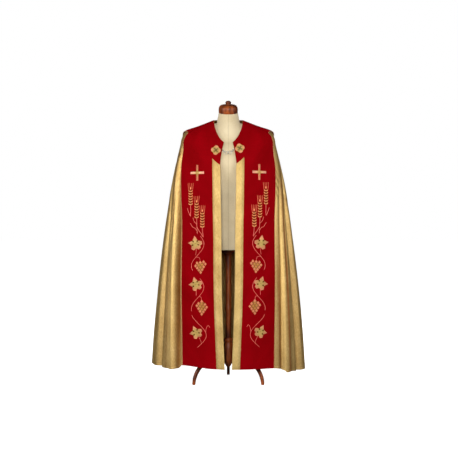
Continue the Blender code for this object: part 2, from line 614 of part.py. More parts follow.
def make_leg(number):
    """A leg that arches out of the hub and comes down upright on a flat foot."""
    share = np.linspace(0, 1, LEG_SECTIONS)
    swing = share * math.pi / 2
    out = LEG_START[0] + (LEG_REACH - LEG_START[0]) * np.sin(swing)
    height = LEG_START[1] * np.cos(swing)
    run = np.stack([np.gradient(out), np.gradient(height)], 1)
    run[0], run[-1] = (1, 0), (0, -1)
    run /= np.linalg.norm(run, axis=1, keepdims=True)
    around = np.linspace(0, 2 * math.pi, LEG_SIDES, endpoint=False) + math.pi / LEG_SIDES
    deep = np.interp(share, (0, 1), LEG_HEIGHTS)[:, None] / 2 * np.cos(around)
    wide = np.interp(share, (0, 1), LEG_WIDTHS)[:, None] / 2 * np.sin(around)
    points = np.stack([out[:, None] - run[:, 1:] * deep, wide, height[:, None] + run[:, :1] * deep], -1)
    index = np.arange(LEG_SECTIONS * LEG_SIDES).reshape(LEG_SECTIONS, LEG_SIDES)
    beside = np.roll(index, -1, 1)
    faces = np.concatenate([
        np.stack([index[:-1], index[1:], beside[1:]], -1).reshape(-1, 3),
        np.stack([index[:-1], beside[1:], beside[:-1]], -1).reshape(-1, 3),
    ])
    ends = np.stack([points[0].mean(0), points[-1].mean(0)])
    first, last = index.size, index.size + 1
    caps = [(first, index[0, j], beside[0, j]) for j in range(LEG_SIDES)]
    caps += [(last, beside[-1, j], index[-1, j]) for j in range(LEG_SIDES)]
    made = piece(f"leg_{number + 1}", np.concatenate([points.reshape(-1, 3), ends]),
                 np.concatenate([faces, caps]), WOOD)
    made.location = (0, AXIS_Y, 0)
    made.rotation_euler = (0, 0, math.pi / 2 + number * 2 * math.pi / LEG_COUNT)
    return made


def clear_scene():
    for old in list(bpy.data.objects):
        bpy.data.objects.remove(old)


def main():
    clear_scene()
    for side in SIDES:
        make_cape(side)
        make_panel(side)
        make_band(side)
        make_piping(side)
        make_rosette(side)
    make_hood()
    make_chain()
    make_form()
    make_cap()
    for name, profile in (("pole", POLE_PROFILE), ("hub", HUB_PROFILE)):
        turned(name, profile, TURNED_SIDES, WOOD).location = (0, AXIS_Y, 0)
    for number in range(LEG_COUNT):
        make_leg(number)


main()
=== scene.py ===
"""How a cope of gold cloth with red panels looks on its dress form: cloth, needlework, clasp, form and stand.

The form's axis is upright and the front faces -Y. Left and right are as seen from the front. A place on
the cloth is named as in the solids: across (0 at the opening edge, 1 where band and panel meet, 2 at the
panel's outer edge, 3 at the centre back) and ring (0 at the neckline, 12 at the hem). Each cloth piece is
a grid over these two, lifted off one shared surface, so that the pieces lie on each other as they are sewn.
"""

import math

import bpy
import numpy as np
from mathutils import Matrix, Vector


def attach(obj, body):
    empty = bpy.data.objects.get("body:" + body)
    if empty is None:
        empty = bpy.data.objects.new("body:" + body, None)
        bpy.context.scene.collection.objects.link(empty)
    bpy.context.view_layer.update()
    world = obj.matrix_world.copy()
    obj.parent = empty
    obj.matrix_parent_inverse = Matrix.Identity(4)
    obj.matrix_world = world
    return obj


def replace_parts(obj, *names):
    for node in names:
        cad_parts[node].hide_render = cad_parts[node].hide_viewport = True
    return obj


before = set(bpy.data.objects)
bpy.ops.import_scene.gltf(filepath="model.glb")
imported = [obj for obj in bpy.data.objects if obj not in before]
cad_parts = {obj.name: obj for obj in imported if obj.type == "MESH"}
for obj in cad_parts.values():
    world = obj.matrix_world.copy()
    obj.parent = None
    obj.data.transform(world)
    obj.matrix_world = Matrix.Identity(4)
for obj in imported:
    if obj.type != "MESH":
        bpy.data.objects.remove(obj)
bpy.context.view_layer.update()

# ---------------------------------------------------------------- sizes, in metres, as in the solids
AXIS_Y = -0.065  # where the form's axis stands
SEAM = 0.0003  # the gap between pieces that lie on or beside each other
CLOTH = 0.0015  # how thick the gold cloth is
TRIM_CLOTH = 0.0012  # and the bands and panels
HOOD_CLOTH = 0.0020  # and the hood
BAND_WIDTH = 0.045
PIPING_WIDTH = 0.0032
PIPING_HEIGHT = 0.0018
POINTED_ROW = 2  # the grid row along the pointed line where the red corner gives way to the band
POINTED_RISE = {"left": 0.46, "right": 0.36}  # how many rings it climbs from the opening to the panel
POINTED_SHIFT = {"left": 0.28, "right": 0.06}  # how many rings the whole of it lies lower than its row
SIDES = {"left": -1, "right": 1}  # the sign of x

# The rings of the cope, from the neckline to the hem. Depths are from the form's axis, + to the back.
RING_COLUMNS = (
    "half_width", "centre_y", "front_y", "back_y", "front_z", "side_z", "back_z",
    "opening", "panel_edge", "plan", "ridge",
)
RINGS = (
    (0.0820, -0.005, -0.135, 0.072, 1.345, 1.487, 1.500, 0.0240, 0.0820, 2.00, 1.3),
    (0.1650, -0.002, -0.149, 0.112, 1.283, 1.455, 1.423, 0.0375, 0.1650, 2.00, 1.6),
    (0.2420, 0.000, -0.158, 0.136, 1.228, 1.426, 1.352, 0.0445, 0.2325, 2.00, 1.8),
    (0.2655, 0.002, -0.161, 0.147, 1.203, 1.388, 1.312, 0.0440, 0.2515, 2.00, 1.8),
    (0.2750, 0.004, -0.163, 0.157, 1.172, 1.345, 1.268, 0.0435, 0.2520, 2.00, 1.8),
    (0.2980, 0.008, -0.166, 0.175, 1.105, 1.250, 1.185, 0.0425, 0.2630, 2.00, 1.9),
    (0.3250, 0.014, -0.169, 0.198, 1.015, 1.120, 1.070, 0.0415, 0.2630, 1.98, 2.0),
    (0.3507, 0.022, -0.173, 0.223, 0.900, 0.960, 0.930, 0.0390, 0.2570, 1.94, 2.0),
    (0.3727, 0.030, -0.177, 0.246, 0.770, 0.800, 0.785, 0.0375, 0.2570, 1.90, 2.0),
    (0.3925, 0.038, -0.182, 0.267, 0.625, 0.635, 0.630, 0.0365, 0.2590, 1.86, 2.0),
    (0.4115, 0.046, -0.188, 0.289, 0.460, 0.460, 0.460, 0.0335, 0.2580, 1.82, 2.0),
    (0.4300, 0.053, -0.194, 0.311, 0.280, 0.280, 0.280, 0.0270, 0.2550, 1.78, 2.0),
    (0.4450, 0.060, -0.200, 0.332, 0.0985, 0.082, 0.078, 0.0195, 0.2525, 1.75, 2.0),
)
RING = {name: np.array(values) for name, values in zip(RING_COLUMNS, zip(*RINGS))}
LAST_RING = len(RINGS) - 1

# The large folds. Columns: where across at the hem, half width, depth at the hem, ring where it starts,
# drift across in each ring.
TROUGHS = {
    "left": (
        (2.034, 0.032, 0.040, 2.5, 0.000), (2.204, 0.022, 0.026, 4.5, 0.007),
        (2.385, 0.038, 0.038, 3.6, 0.002), (2.532, 0.045, 0.044, 4.6, 0.000),
        (2.695, 0.043, 0.040, 4.4, 0.000), (2.860, 0.042, 0.038, 5.4, 0.000),
    ),
    "right": (
        (2.078, 0.017, 0.026, 5.0, 0.002), (2.236, 0.029, 0.048, 2.0, 0.010),
        (2.410, 0.036, 0.038, 4.2, 0.002), (2.548, 0.046, 0.042, 4.2, 0.000),
        (2.705, 0.042, 0.042, 5.0, 0.000), (2.865, 0.041, 0.036, 5.6, 0.000),
    ),
}
# Deeper tucks that ease out again. Columns: where across, half width, depth, first ring, last ring.
TUCKS = {"left": ((2.036, 0.036, 0.036, 3.5, 13.0),), "right": ()}
TROUGH_REACH = 1.35  # the length over which a fold deepens, so that it still does at the hem
TROUGH_HASTE = 0.65  # below 1, the power that makes it deepen early
TROUGH_CLEAR = (2.012, 0.022)  # the panel's edge stays flat up to here, and the folds are full this far on

# How far the hem hangs above (+) or below (-) its ring. Columns: where across, lift.
HEM = {
    "left": ((0.0, 0.0), (1.0, 0.002), (2.0, 0.0205), (2.03, 0.020), (2.055, -0.001), (2.09, -0.004),
             (2.13, 0.001), (2.175, 0.003), (2.20, 0.008), (2.25, 0.0105), (2.30, 0.018), (2.44, 0.004),
             (2.61, 0.012), (2.78, 0.002), (3.0, 0.006)),
    "right": ((0.0, 0.0), (1.0, 0.0), (2.0, 0.004), (2.06, 0.0), (2.085, -0.009), (2.11, -0.023),
              (2.15, -0.0165), (2.19, -0.018), (2.235, -0.020), (2.33, -0.015), (2.46, -0.018),
              (2.62, -0.006), (2.79, -0.010), (3.0, 0.006)),
}
HEM_RINGS = 2.0  # the rings above the hem that its rise and fall reaches

# Fine creases of the gold cloth, which the solids leave out.
# Columns: where across, half width, depth (- raised), first ring, last ring, drift across in each ring.
CREASES = {
    "left": (
        (2.075, 0.010, 0.0030, 5.0, 9.5, 0.0200),
        (2.262, 0.013, 0.0022, 5.0, 13.2, 0.0010), (2.098, 0.010, -0.0020, 5.6, 13.6, 0.0000),
        (2.300, 0.012, -0.0018, 4.6, 13.4, -0.0010), (2.450, 0.016, 0.0050, 5.6, 13.4, 0.0020),
        (2.480, 0.012, 0.0030, 6.8, 12.0, -0.0030), (2.610, 0.015, 0.0044, 6.6, 13.2, 0.0010),
        (2.645, 0.011, -0.0024, 7.2, 12.6, -0.0020), (2.770, 0.014, 0.0040, 6.8, 13.5, -0.0010),
        (2.925, 0.013, 0.0034, 7.2, 13.3, 0.0020),
    ),
    "right": (
        (2.130, 0.012, -0.0022, 4.6, 13.4, 0.0010), (2.018, 0.010, 0.0016, 5.5, 12.4, 0.0010),
        (2.278, 0.013, 0.0026, 4.4, 13.2, 0.0012), (2.318, 0.012, -0.0020, 5.4, 13.2, -0.0010),
        (2.465, 0.015, 0.0046, 6.0, 13.4, -0.0020), (2.505, 0.012, 0.0030, 6.6, 11.8, 0.0020),
        (2.620, 0.015, 0.0044, 6.8, 13.6, 0.0010), (2.660, 0.011, -0.0024, 7.0, 12.4, -0.0020),
        (2.785, 0.014, 0.0040, 6.8, 13.2, 0.0020), (2.935, 0.013, 0.0034, 7.4, 13.4, -0.0010),
    ),
}
TUCK_POWER = 1.5  # above 1, the power that makes a tuck come and go slowly
CREASE_POWER = 0.8  # and below 1, that makes creases and streaks do so quickly
# Small slanting wrinkles under the shoulder.
# Columns: across, ring, half length and half width in rings, slope, depth.
WRINKLES = {
    "left": ((2.040, 5.50, 0.15, 0.050, 3.8, 0.0026), (2.032, 5.80, 0.15, 0.050, 3.8, 0.0036),
             (2.038, 6.03, 0.15, 0.050, 4.0, 0.0032), (2.120, 4.60, 0.50, 0.120, 5.0, 0.0016),
             (2.180, 6.90, 0.50, 0.130, -5.0, 0.0014), (2.620, 8.00, 0.50, 0.140, 4.0, 0.0016)),
    "right": ((2.026, 5.26, 0.20, 0.050, 6.4, 0.0030), (2.030, 5.53, 0.24, 0.055, 6.2, 0.0042),
              (2.032, 5.86, 0.26, 0.060, 6.4, 0.0046), (2.030, 6.17, 0.22, 0.055, 6.8, 0.0036),
              (2.190, 6.40, 0.50, 0.130, 5.0, 0.0014), (2.550, 7.60, 0.50, 0.130, -4.4, 0.0016),
              (2.800, 8.60, 0.50, 0.140, 4.0, 0.0015)),
}
# Streaks down the front: painted shade (+) in a fold's hollow and painted highlight (-) on its crest.
# Columns: where across at its top, and at its end, half width near the hem, strength, first ring, last ring.
STREAKS = {
    "left": (
        (2.062, 2.052, 0.012, 0.8, 6.4, 14.0),  # the hollow beside the panel
        (2.085, 2.105, 0.012, -0.4, 5.5, 13.0),  # the first crest
        (2.115, 2.155, 0.010, 0.4, 6.5, 15.0),
        (2.120, 2.120, 0.009, 0.6, 4.0, 7.5),
        (2.170, 2.180, 0.018, -0.5, 5.0, 11.0),
    ),
    "right": (
        (2.005, 2.020, 0.018, -1.2, 2.5, 9.0),  # the full cloth beside the panel
        (2.020, 2.065, 0.015, 0.8, 6.5, 14.5),
        (2.065, 2.105, 0.011, -0.5, 5.0, 14.0),  # the first crest
        (2.092, 2.150, 0.012, 1.0, 3.5, 15.0),  # the deep fold behind it
        (2.170, 2.200, 0.018, -0.7, 5.0, 12.0),
        (2.015, 2.020, 0.010, -0.3, 9.0, 15.0),
    ),
}
STREAK_SPREAD = 2.4  # how much wider, as a share of its width near the hem, a streak is at its widest
STREAK_TOP = 4.7  # the ring down to which it is that wide
# Further back, painted shade dulls every hollow and painted highlight keeps every crest bright.
HOLLOW_SHIFTS = (-0.070, -0.035, 0.035, 0.070)  # how far across the level around is read
HOLLOW_DEPTH = 0.013  # below that level, for the full strength
HOLLOW_LIMITS = (-0.7, 1.0)  # the most that a crest brightens and a hollow dulls
HOLLOW_START = (2.33, 2.42)  # where across this starts, and where it is full
# The small wrinkles get painted shade too.
WRINKLE_DEPTH = 0.0040  # the depth at which a small wrinkle dulls it fully
# Painted shade (+) and painted highlight (-) in streaks down the whole of a front band. Columns: where
# across, half width across, strength.
BAND_PAINTED_LIGHT = {
    "left": ((1.00, 0.20, 0.28), (0.62, 0.14, -0.10), (0.30, 0.12, 0.05), (0.02, 0.16, -0.25)),
    "right": ((0.08, 0.14, -0.25), (0.30, 0.12, -0.18), (0.55, 0.20, -0.28), (0.95, 0.12, 0.12)),
}
# Ripples that run down the gold cloth. Columns: waves in one unit across, height, slow drift, phase.
RIPPLES = (
    (23, 0.00034, 0.9, 0.4), (37, 0.00022, 1.4, 2.1), (58, 0.00012, 2.2, 4.4), (88, 0.00005, 3.1, 1.3),
)
RIPPLE_RINGS = (2.0, 5.0)  # the ring where they begin, and the rings over which they grow
RIPPLE_WANDER = 0.6  # how far, in radians, their waves stray
# Soft buckles of the red panel. Columns: across, ring, half width, half length in rings, height.
BUCKLES = ((1.35, 7.2, 0.16, 1.6, 0.0016), (1.70, 9.4, 0.14, 1.8, -0.0018), (1.30, 10.8, 0.15, 1.2, 0.0020),
           (1.78, 5.6, 0.12, 1.3, 0.0014), (1.55, 3.4, 0.18, 0.8, -0.0012), (1.62, 12.0, 0.16, 1.0, 0.0026))

# The hood: across 0 at the centre back, 1 at its front edge, which laps over the shoulder's ridge.
HOOD_CORNER_RING = 1.85
HOOD_POINT_RING = 6.4
HOOD_SWEEP = 1.3  # how much its lower edge hollows between the corner and the point
HOOD_LIFT = 0.0027  # its underside over the gold cloth, just clear of the red panel
HOOD_TIP_LIFT = 0.0030  # more at its stiff side corners
HOOD_TIP_RINGS = (1.2, 1.4)  # the ring where that begins, and the rings over which it grows
HOOD_LAP = (0.03, 0.26)  # how far it laps over the ridge of the shoulder, in radians, at neck and corner
HOOD_WAVES = ((3.0, 0.0011, 0.6), (5.0, 0.0007, 2.4))  # waves over half of it, height, phase

# The clasp.
ROSETTE_ACROSS = {"left": -0.0685, "right": 0.0640}  # x of its middle
ROSETTE_HEIGHT = {"left": 1.308, "right": 1.319}
ROSETTE_TURN = {"left": -0.12, "right": 0.27}  # in radians
ROSETTE_RADIUS = 0.0275  # to a petal's tip
ROSETTE_WAIST = 0.76  # its radius between the petals, as a share of that
ROSETTE_THICK = 0.0018
ROSETTE_LIFT = 0.0007  # its back in front of the panel's plane
ROSETTE_CREASE = (0.0006, 0.22)  # its depth between the petals, and how wide it is as a sine
ROSETTE_CORD = (0.0009, 0.91, 0.09)  # its height, and its middle and half width as shares of the radius
ROSETTE_SHARES = (0.06, 0.2, 0.34, 0.48, 0.6, 0.7, 0.78, 0.83, 0.87, 0.91, 0.95, 0.98, 1.0)  # of its radius
LINK_WIRE = 0.0011  # its radius
LINK = (0.0056, 0.0038)  # half length and half width, to the middle of the wire
HOOK_RING = (0.0088, 0.0088)
SMALL_RING = (0.0040, 0.0036)
CHAIN_ENDS = {"left": (-0.0335, 1.3090), "right": (0.0312, 1.3120)}  # x and height of the two eyes
CHAIN = (LINK, LINK, LINK, HOOK_RING, SMALL_RING, HOOK_RING, LINK, LINK, LINK)

# The needlework, by how far out from the middle and how high: the two panels mirror each other.
NEEDLEWORK_LIFT = {"left": 0.0, "right": 0.0045}
CROSS = (0.1722, 1.182)  # out, height of its middle
CROSS_HALF = (0.0380, 0.0440)  # half width, half height
CROSS_BARS = (0.0062, 0.0070)  # half width of the upright and of the level bar
EARS = ((0.2090, 1.0030), (0.1750, 0.9300), (0.1432, 0.8780))  # the foot of each ear of wheat
EAR_ROWS = 6  # pairs of grains
EAR_PITCH = 0.0146  # from one pair up to the next
GRAIN = (0.0122, 0.0032)  # how far its tip lies from the stalk, half width
AWNS = ((0.0112, 0.0150), (0.0036, 0.0050))  # how far from the stalk each lies at its foot and at its tip
AWN_LENGTH = 0.0360
AWN_HALF = 0.0015
EAR_STALK_HALF = 0.0034  # the dark stalk inside an ear
STALKS = (  # out, height: the wheat's stalks and blades
    ((0.2090, 1.0030), (0.2085, 0.9750), (0.2095, 0.9400)),
    ((0.2270, 0.9860), (0.2200, 0.9620), (0.2095, 0.9400)),
    ((0.1750, 0.9300), (0.1740, 0.9000), (0.1712, 0.8420)),
    ((0.1960, 0.9340), (0.1885, 0.9120), (0.1735, 0.8950)),
    ((0.2110, 0.9030), (0.1975, 0.8815), (0.1820, 0.8725), (0.1715, 0.8560)),
    ((0.1735, 0.8820), (0.1610, 0.8590), (0.1470, 0.8400), (0.1378, 0.8240)),
    ((0.1432, 0.8780), (0.1420, 0.8560), (0.1378, 0.8240)),
)
VINE_PITCH = 0.245
VINES = (  # where it swings furthest in, and from there its start and end; its middle and its swing
    (0.787, 0.046, -0.149, 0.1690, 0.0350),
    (0.550, 0.049, -0.136, 0.1690, 0.0350),
    (0.285, 0.110, -0.071, 0.1625, 0.0418),
)
LEAVES = (  # out, height, turn in degrees, size
    (0.1817, 0.7890, 0.0, 1.0), (0.1790, 0.5640, -10.0, 0.98), (0.1770, 0.2985, -18.0, 0.92),
)
LEAF_LOBES = ((7.0, 0.0420), (85.0, 0.0405), (156.0, 0.0375), (222.0, 0.0365), (278.0, 0.0375))  # turn, reach
LEAF_LOBE = 0.0138  # half width
LEAF_NOTCHES = (46.0, 120.0, 250.0, 322.0)  # turns of the dark stitches between the lobes
LEAF_NOTCH = (0.0115, 0.0235, 0.0048)  # their start, end and half width
LEAF_STALKS = (
    ((0.1790, 0.7700), (0.1765, 0.7570), (0.1810, 0.7240)),
    ((0.1790, 0.5450), (0.1765, 0.5330), (0.1768, 0.5010)),
    ((0.1650, 0.2800), (0.1560, 0.2640), (0.1490, 0.2480), (0.1478, 0.2320)),
)
BUNCHES = (  # out and height of the top, lean in degrees, rise towards the middle, berries in each row
    (0.1540, 0.6850, -2.0, 0.16, (3, 4, 3, 2, 1)),
    (0.1460, 0.4700, 0.0, -0.12, (1, 3, 4, 3, 2, 1)),
)
BUNCH_STALKS = (
    ((0.1800, 0.7140), (0.1610, 0.7125), (0.1545, 0.6960)),
    ((0.1640, 0.4971), (0.1500, 0.4935), (0.1470, 0.4760)),
)
GROUND_HALF = 0.0230  # half width of the dark ground under a bunch
BERRY = (0.0182, 0.0138, 0.0094, 0.0076)  # pitch across, pitch down, half length, half width
TENDRIL = ((0.1240, 0.2990), (0.1220, 0.3180), (0.1160, 0.3340), (0.1085, 0.3390), (0.1010, 0.3270))
STEM_HALF = 0.0015
RELIEF = {  # how far each kind of stroke stands off the cloth
    "upright": 0.0010, "level": 0.0016, "grain": 0.0016, "top_grain": 0.0013, "awn": 0.0006, "stalk": 0.0004,
    "stem": 0.0008, "thin_stem": 0.0006, "lobe": 0.0010, "notch": 0.0020, "berry": 0.0014, "ground": 0.0003,
}

# The satin threads: shades with how far along the stroke each is reached, rim colour, rim width, and what
# else sets a thread apart.
THREADS = {
    "leaf": (((0.010, (206, 176, 92)), (0.034, (238, 150, 108))), (236, 144, 110), 0.0018, {}),
    "notch": (((0, (92, 46, 2)),), (84, 36, 4), 0.0008, {"metallic": 0.0, "shadow": 0.15, "gloss": 0.08}),
    "berry": (((0, (206, 140, 58)),), (150, 84, 16), 0.0018, {}),
    "pale_berry": (((0, (236, 146, 96)),), (222, 112, 78), 0.0018, {}),
    "ground": (((0, (150, 88, 20)),), (150, 50, 16), 0.0030, {"shadow": 0.15}),
    "grain": (((0, (246, 164, 96)),), (234, 128, 80), 0.0012, {"shadow": 0.2}),
    "awn": (((0, (226, 104, 66)),), (208, 84, 52), 0.0008, {"shadow": 0.2}),
    "stem": (((0, (246, 112, 92)),), (232, 84, 76), 0.0008, {"metallic": 0.1, "shadow": 0.15}),
    "level": (((0.005, (196, 158, 76)), (0.013, (250, 204, 144)), (0.034, (255, 176, 148))),
              (250, 168, 132), 0.0016, {"start": CROSS_HALF[0], "shadow": 0.2}),
    "upright": (((0.012, (188, 138, 70)), (0.024, (210, 114, 80))),
                (204, 100, 72), 0.0016, {"start": CROSS_HALF[1], "shadow": 0.2}),
}

# The form and its stand.
FORM_GAP = 0.0007  # between its shoulders and the cope
FORM_EASE = 0.012  # more of that towards the front and the back
FORM_SHOULDER = (0.5, 0.7, 0.9, 1.1, 1.3, 1.5)  # the rings of the cope that its shoulders fill
FORM_STEPS = 5  # from one ring to the next
FORM_INSETS = (0.985, 0.7, 0.35, 0.05)  # shares of its end rings that close it
NECK_TILT = math.radians(19)
# Rings of its neck: radius, height, and how much of the tilt each has.
NECK = ((0.0550, 1.535, 1.0), (0.0585, 1.513, 0.8), (0.0640, 1.490, 0.6))
# Columns: half width, centre, front and back in depth from the axis, and front, side and back in height.
NECK_BASE = (0.0700, -0.004, -0.0950, 0.0680, 1.385, 1.474, 1.492)
FORM_BODY = (
    (0.2060, 0.000, -0.1400, 0.1180, 1.222, 1.402, 1.330),
    (0.1990, 0.000, -0.1380, 0.1180, 1.190, 1.350, 1.285),
    (0.1800, 0.000, -0.1300, 0.1120, 1.140, 1.250, 1.210),
    (0.1640, 0.000, -0.1180, 0.1020, 1.085, 1.140, 1.125),
    (0.1540, 0.000, -0.1060, 0.0950, 1.020, 1.035, 1.030),
    (0.1640, 0.000, -0.1120, 0.1060, 0.950, 0.950, 0.950),
    (0.1750, 0.000, -0.1180, 0.1160, 0.870, 0.870, 0.870),
    (0.1720, 0.000, -0.1150, 0.1140, 0.790, 0.790, 0.790),
    (0.1660, 0.000, -0.1100, 0.1090, 0.752, 0.752, 0.752),
)
CAP_PROFILE = (  # radius, height over the neck's top
    (0.0540, 0.0003), (0.0552, 0.0040), (0.0552, 0.0200), (0.0542, 0.0290), (0.0510, 0.0355),
    (0.0460, 0.0408), (0.0370, 0.0445), (0.0240, 0.0465), (0.0150, 0.0485), (0.0148, 0.0520),
    (0.0168, 0.0560), (0.0160, 0.0615), (0.0110, 0.0660), (0.0040, 0.0680),
)
POLE_PROFILE = (  # radius, height
    (0.0420, 0.7515), (0.0420, 0.7400), (0.0330, 0.7330), (0.0200, 0.7260), (0.0160, 0.7100),
    (0.0160, 0.4300), (0.0190, 0.4200), (0.0190, 0.4050), (0.0160, 0.3950), (0.0160, 0.2503),
)
HUB_PROFILE = (  # radius, height
    (0.0200, 0.2500), (0.0260, 0.2440), (0.0260, 0.2320), (0.0210, 0.2240), (0.0300, 0.2050),
    (0.0330, 0.1850), (0.0330, 0.1250), (0.0290, 0.1100), (0.0180, 0.0980), (0.0120, 0.0860),
)
LEG_START = (0.0335, 0.155)  # out from the axis, height
LEG_REACH = 0.222  # how far out its foot stands
LEG_HEIGHTS = (0.034, 0.017)  # its section at the hub and at the foot
LEG_WIDTHS = (0.022, 0.018)
LEG_CORNERS = 0.75  # below 1, the power that squares its section

# Fineness of the meshes.
STEP = 1e-3  # how far apart, in across, rings or radians, a surface is read for its slopes
ARC_SAMPLES = 400
TOP_RINGS = 3  # the rings at the top that are cut into finer rows
CAPE_CELLS = 200  # across, from the panel's edge to the centre back
CAPE_UNDER = (4, 12)  # and where it lies under the band and the panel
CAPE_ROWS = (46, 124)  # down the top rings, and from there to the hem, as for the other rows
TRIM_EDGE = 0.06  # across, the strip at a trim's edge that has cells of its own
BAND_CELLS = (3, 12)  # across that strip, and across the rest of the band's width
PANEL_EDGE = 1.95  # the panel's strip at its outer edge starts here
PANEL_CELLS = (38, 4)  # from the band's line to there, and across it
CORNER_ROWS = 44  # down the red corner
TRIM_ROWS = (20, 140)
PIPING_START = 1.5  # the ring where the piping comes out from under the hood
PIPING_ROWS = (40, 260)
PIPING_SIDES = 10
PIPING_FLATNESS = 0.62
LINK_SIDES = 12
LINK_POINTS = 40
TURNED_SIDES = 72
TURNED_SOFTENING = 2  # how many times a turned profile's corners are cut
HOOD_HALF = 60  # cells from its middle to a side
HOOD_ROWS = 60
POINTED_SEAM = SEAM / 0.035  # a gap in rings, which lie about 35 mm apart there
EDGE_ROUNDING = 0.0016  # how far in from a trim's edge its outer face starts to drop
EDGE_DROP = 0.55  # how far it has dropped at the edge, as a share of its thickness
HOOD_PIPING = 0.0017  # its radius
STITCH_SINK = 0.0003  # how far a stroke's edges lie in the cloth
LOCATE_STEPS = 6  # of Newton's method
PLANE_POINTS = 12  # the nearest points of the panel that a clasp's seat is fitted to
SECTION = np.array((-1.0, -0.86, -0.5, 0.0, 0.5, 0.86, 1.0))  # across a stroke of satin stitch

# The studio. The camera looks level along +Y from its place, through a lens in millimetres.
FLOOR_RADIUS = 60.0
FLOOR_DROP = 0.0002
FLOOR_GLOW = 0.95
LAMPS = (  # place, aim, size, power in watts
    ("front", (-0.30, -4.30, 2.00), (0.0, -0.20, 0.95), 1.8, 126.0),
    ("left", (-2.90, -2.30, 1.85), (0.0, -0.10, 1.10), 1.8, 61.0),
    ("right", (2.90, -2.30, 1.85), (0.0, -0.10, 1.10), 1.8, 54.0),
    ("back", (0.60, 3.40, 2.20), (0.0, 0.10, 0.90), 1.8, 70.0),
)
SURROUNDINGS = (1.0, 1.0, 1.0, 1.0)
SURROUNDINGS_STRENGTH = 0.06
CAMERA_PLACE = (0.004, -4.865, 0.87)
CAMERA_LENS = 66.03
CAMERA_SENSOR = 36.0


# ---------------------------------------------------------------- the shared surface of the cloth
def smooth_step(x):
    """0 below 0 and 1 above 1, with 3 x squared less 2 x cubed between."""
    x = np.clip(x, 0.0, 1.0)
    return x * x * (3 - 2 * x)


def smooth_along(values, v):
    """values, one row a ring, read at ring v by a Catmull-Rom curve through them."""
    padded = np.concatenate([[2 * values[0] - values[1]], values, [2 * values[-1] - values[-2]]])
    k = np.clip(np.floor(v).astype(int), 0, len(values) - 2)
    f = v - k
    column = () if values.ndim == 1 else (np.arange(k.shape[-1]),)
    a, b, c, d = (padded[(k + i, *column)] for i in range(4))
    return b + 0.5 * f * (c - a + f * (2 * a - 5 * b + 4 * c - d + f * (3 * (b - c) + d - a)))


def ring_point(t, ring):
    """A ring's points: its half width and reach times powers of sin t and cos t.

    Its height runs from the side's to the front's or the back's by another power of cos t.
    """
    front = t < math.pi / 2
    power = 2 / ring["plan"]
    toward = np.abs(np.cos(t))
    x = ring["half_width"] * np.abs(np.sin(t)) ** power
    reach = np.where(front, ring["front_y"], ring["back_y"]) - ring["centre_y"]
    end_z = np.where(front, ring["front_z"], ring["back_z"])
    y = ring["centre_y"] + reach * toward**power
    z = ring["side_z"] + (end_z - ring["side_z"]) * toward ** ring["ridge"]
    return np.stack([x, y + AXIS_Y, z], axis=-1)


def envelope(t, v):
    """The points at angle t of the ring that lies at v between the named rings, with no folds."""
    return ring_point(t, {name: smooth_along(values, v) for name, values in RING.items()})


def angle_on_ring(k, across, extra):
    """The angle on ring k of places across it, measured along the ring seen from above."""
    ring = {name: values[k] for name, values in RING.items()}
    first = math.asin((ring["opening"] / ring["half_width"]) ** (ring["plan"] / 2))
    panel = math.asin((ring["panel_edge"] / ring["half_width"]) ** (ring["plan"] / 2))
    t = np.linspace(first, math.pi, ARC_SAMPLES)
    steps = np.diff(ring_point(t, ring)[:, :2], axis=0)
    arc = np.concatenate([[0.0], np.cumsum(np.hypot(steps[:, 0], steps[:, 1]))])
    marks = (0.0, BAND_WIDTH, np.interp(panel, t, arc), arc[-1])
    return np.interp(np.interp(across, (0, 1, 2, 3), marks) + extra, arc, t)


def angle(across, v, extra):
    """The angle at ring v of places across it, read between the angles on the named rings."""
    rings = np.array([angle_on_ring(k, across, extra) for k in range(LAST_RING + 1)])
    return smooth_along(rings, v)


def bell(x):
    """1 at 0, falling away as e to the power of minus x squared."""
    return np.exp(-(x**2))


def unit(vectors):
    """Vectors cut or drawn out to a length of 1."""
    return vectors / np.linalg.norm(vectors, axis=-1, keepdims=True)


def rise_and_fall(v, first, last, power):
    """0 at the first ring and at the last, and 1 midway: half a sine wave to a power."""
    return np.sin(math.pi * np.clip((v - first) / (last - first), 0, 1)) ** power


def wrinkle_depth(side, across, v):
    """Depth of the small slanting wrinkles: bells across and along each."""
    depth = np.zeros(np.broadcast(across, v).shape)
    for at, ring, half_length, half_width, slope, deep in WRINKLES[side]:
        beside = (v - ring) - slope * (across - at)
        depth += deep * bell(beside / half_width) * bell((across - at) * abs(slope) / half_length)
    return depth


def fold_depth(side, across, v):
    """Depth pressed into the cloth: a bell across each fold, growing down it.

    Tucks and creases rise and fade again, ripples are sine waves across, and buckles are round bells.
    """
    depth = np.zeros(np.broadcast(across, v).shape)
    for at, half_width, deep, first, drift in TROUGHS[side]:
        growth = smooth_step((v - first) / (TROUGH_REACH * (LAST_RING - first))) ** TROUGH_HASTE
        depth += deep * bell((across - at - drift * (v - LAST_RING)) / half_width) * growth
    for at, half_width, deep, first, last in TUCKS[side]:
        depth += deep * bell((across - at) / half_width) * rise_and_fall(v, first, last, TUCK_POWER)
    for at, half_width, deep, first, last, drift in CREASES[side]:
        growth = rise_and_fall(v, first, last, CREASE_POWER)
        depth += deep * bell((across - at - drift * (v - first)) / half_width) * growth
    depth += wrinkle_depth(side, across, v)
    first, grown = RIPPLE_RINGS
    loose = smooth_step((v - first) / grown)
    for waves, height, drift, phase in RIPPLES:
        wander = RIPPLE_WANDER * np.sin(drift * v * 0.7 + 3.0 * across + phase)
        depth += loose * height * np.sin(waves * across * 2 * math.pi + drift * v * 0.35 + phase + wander)
    edge, clear = TROUGH_CLEAR
    depth *= smooth_step((across - edge) / clear)
    for at, ring, half_width, half_length, height in BUCKLES:
        depth -= height * bell((across - at) / half_width) * bell((v - ring) / half_length)
    return depth


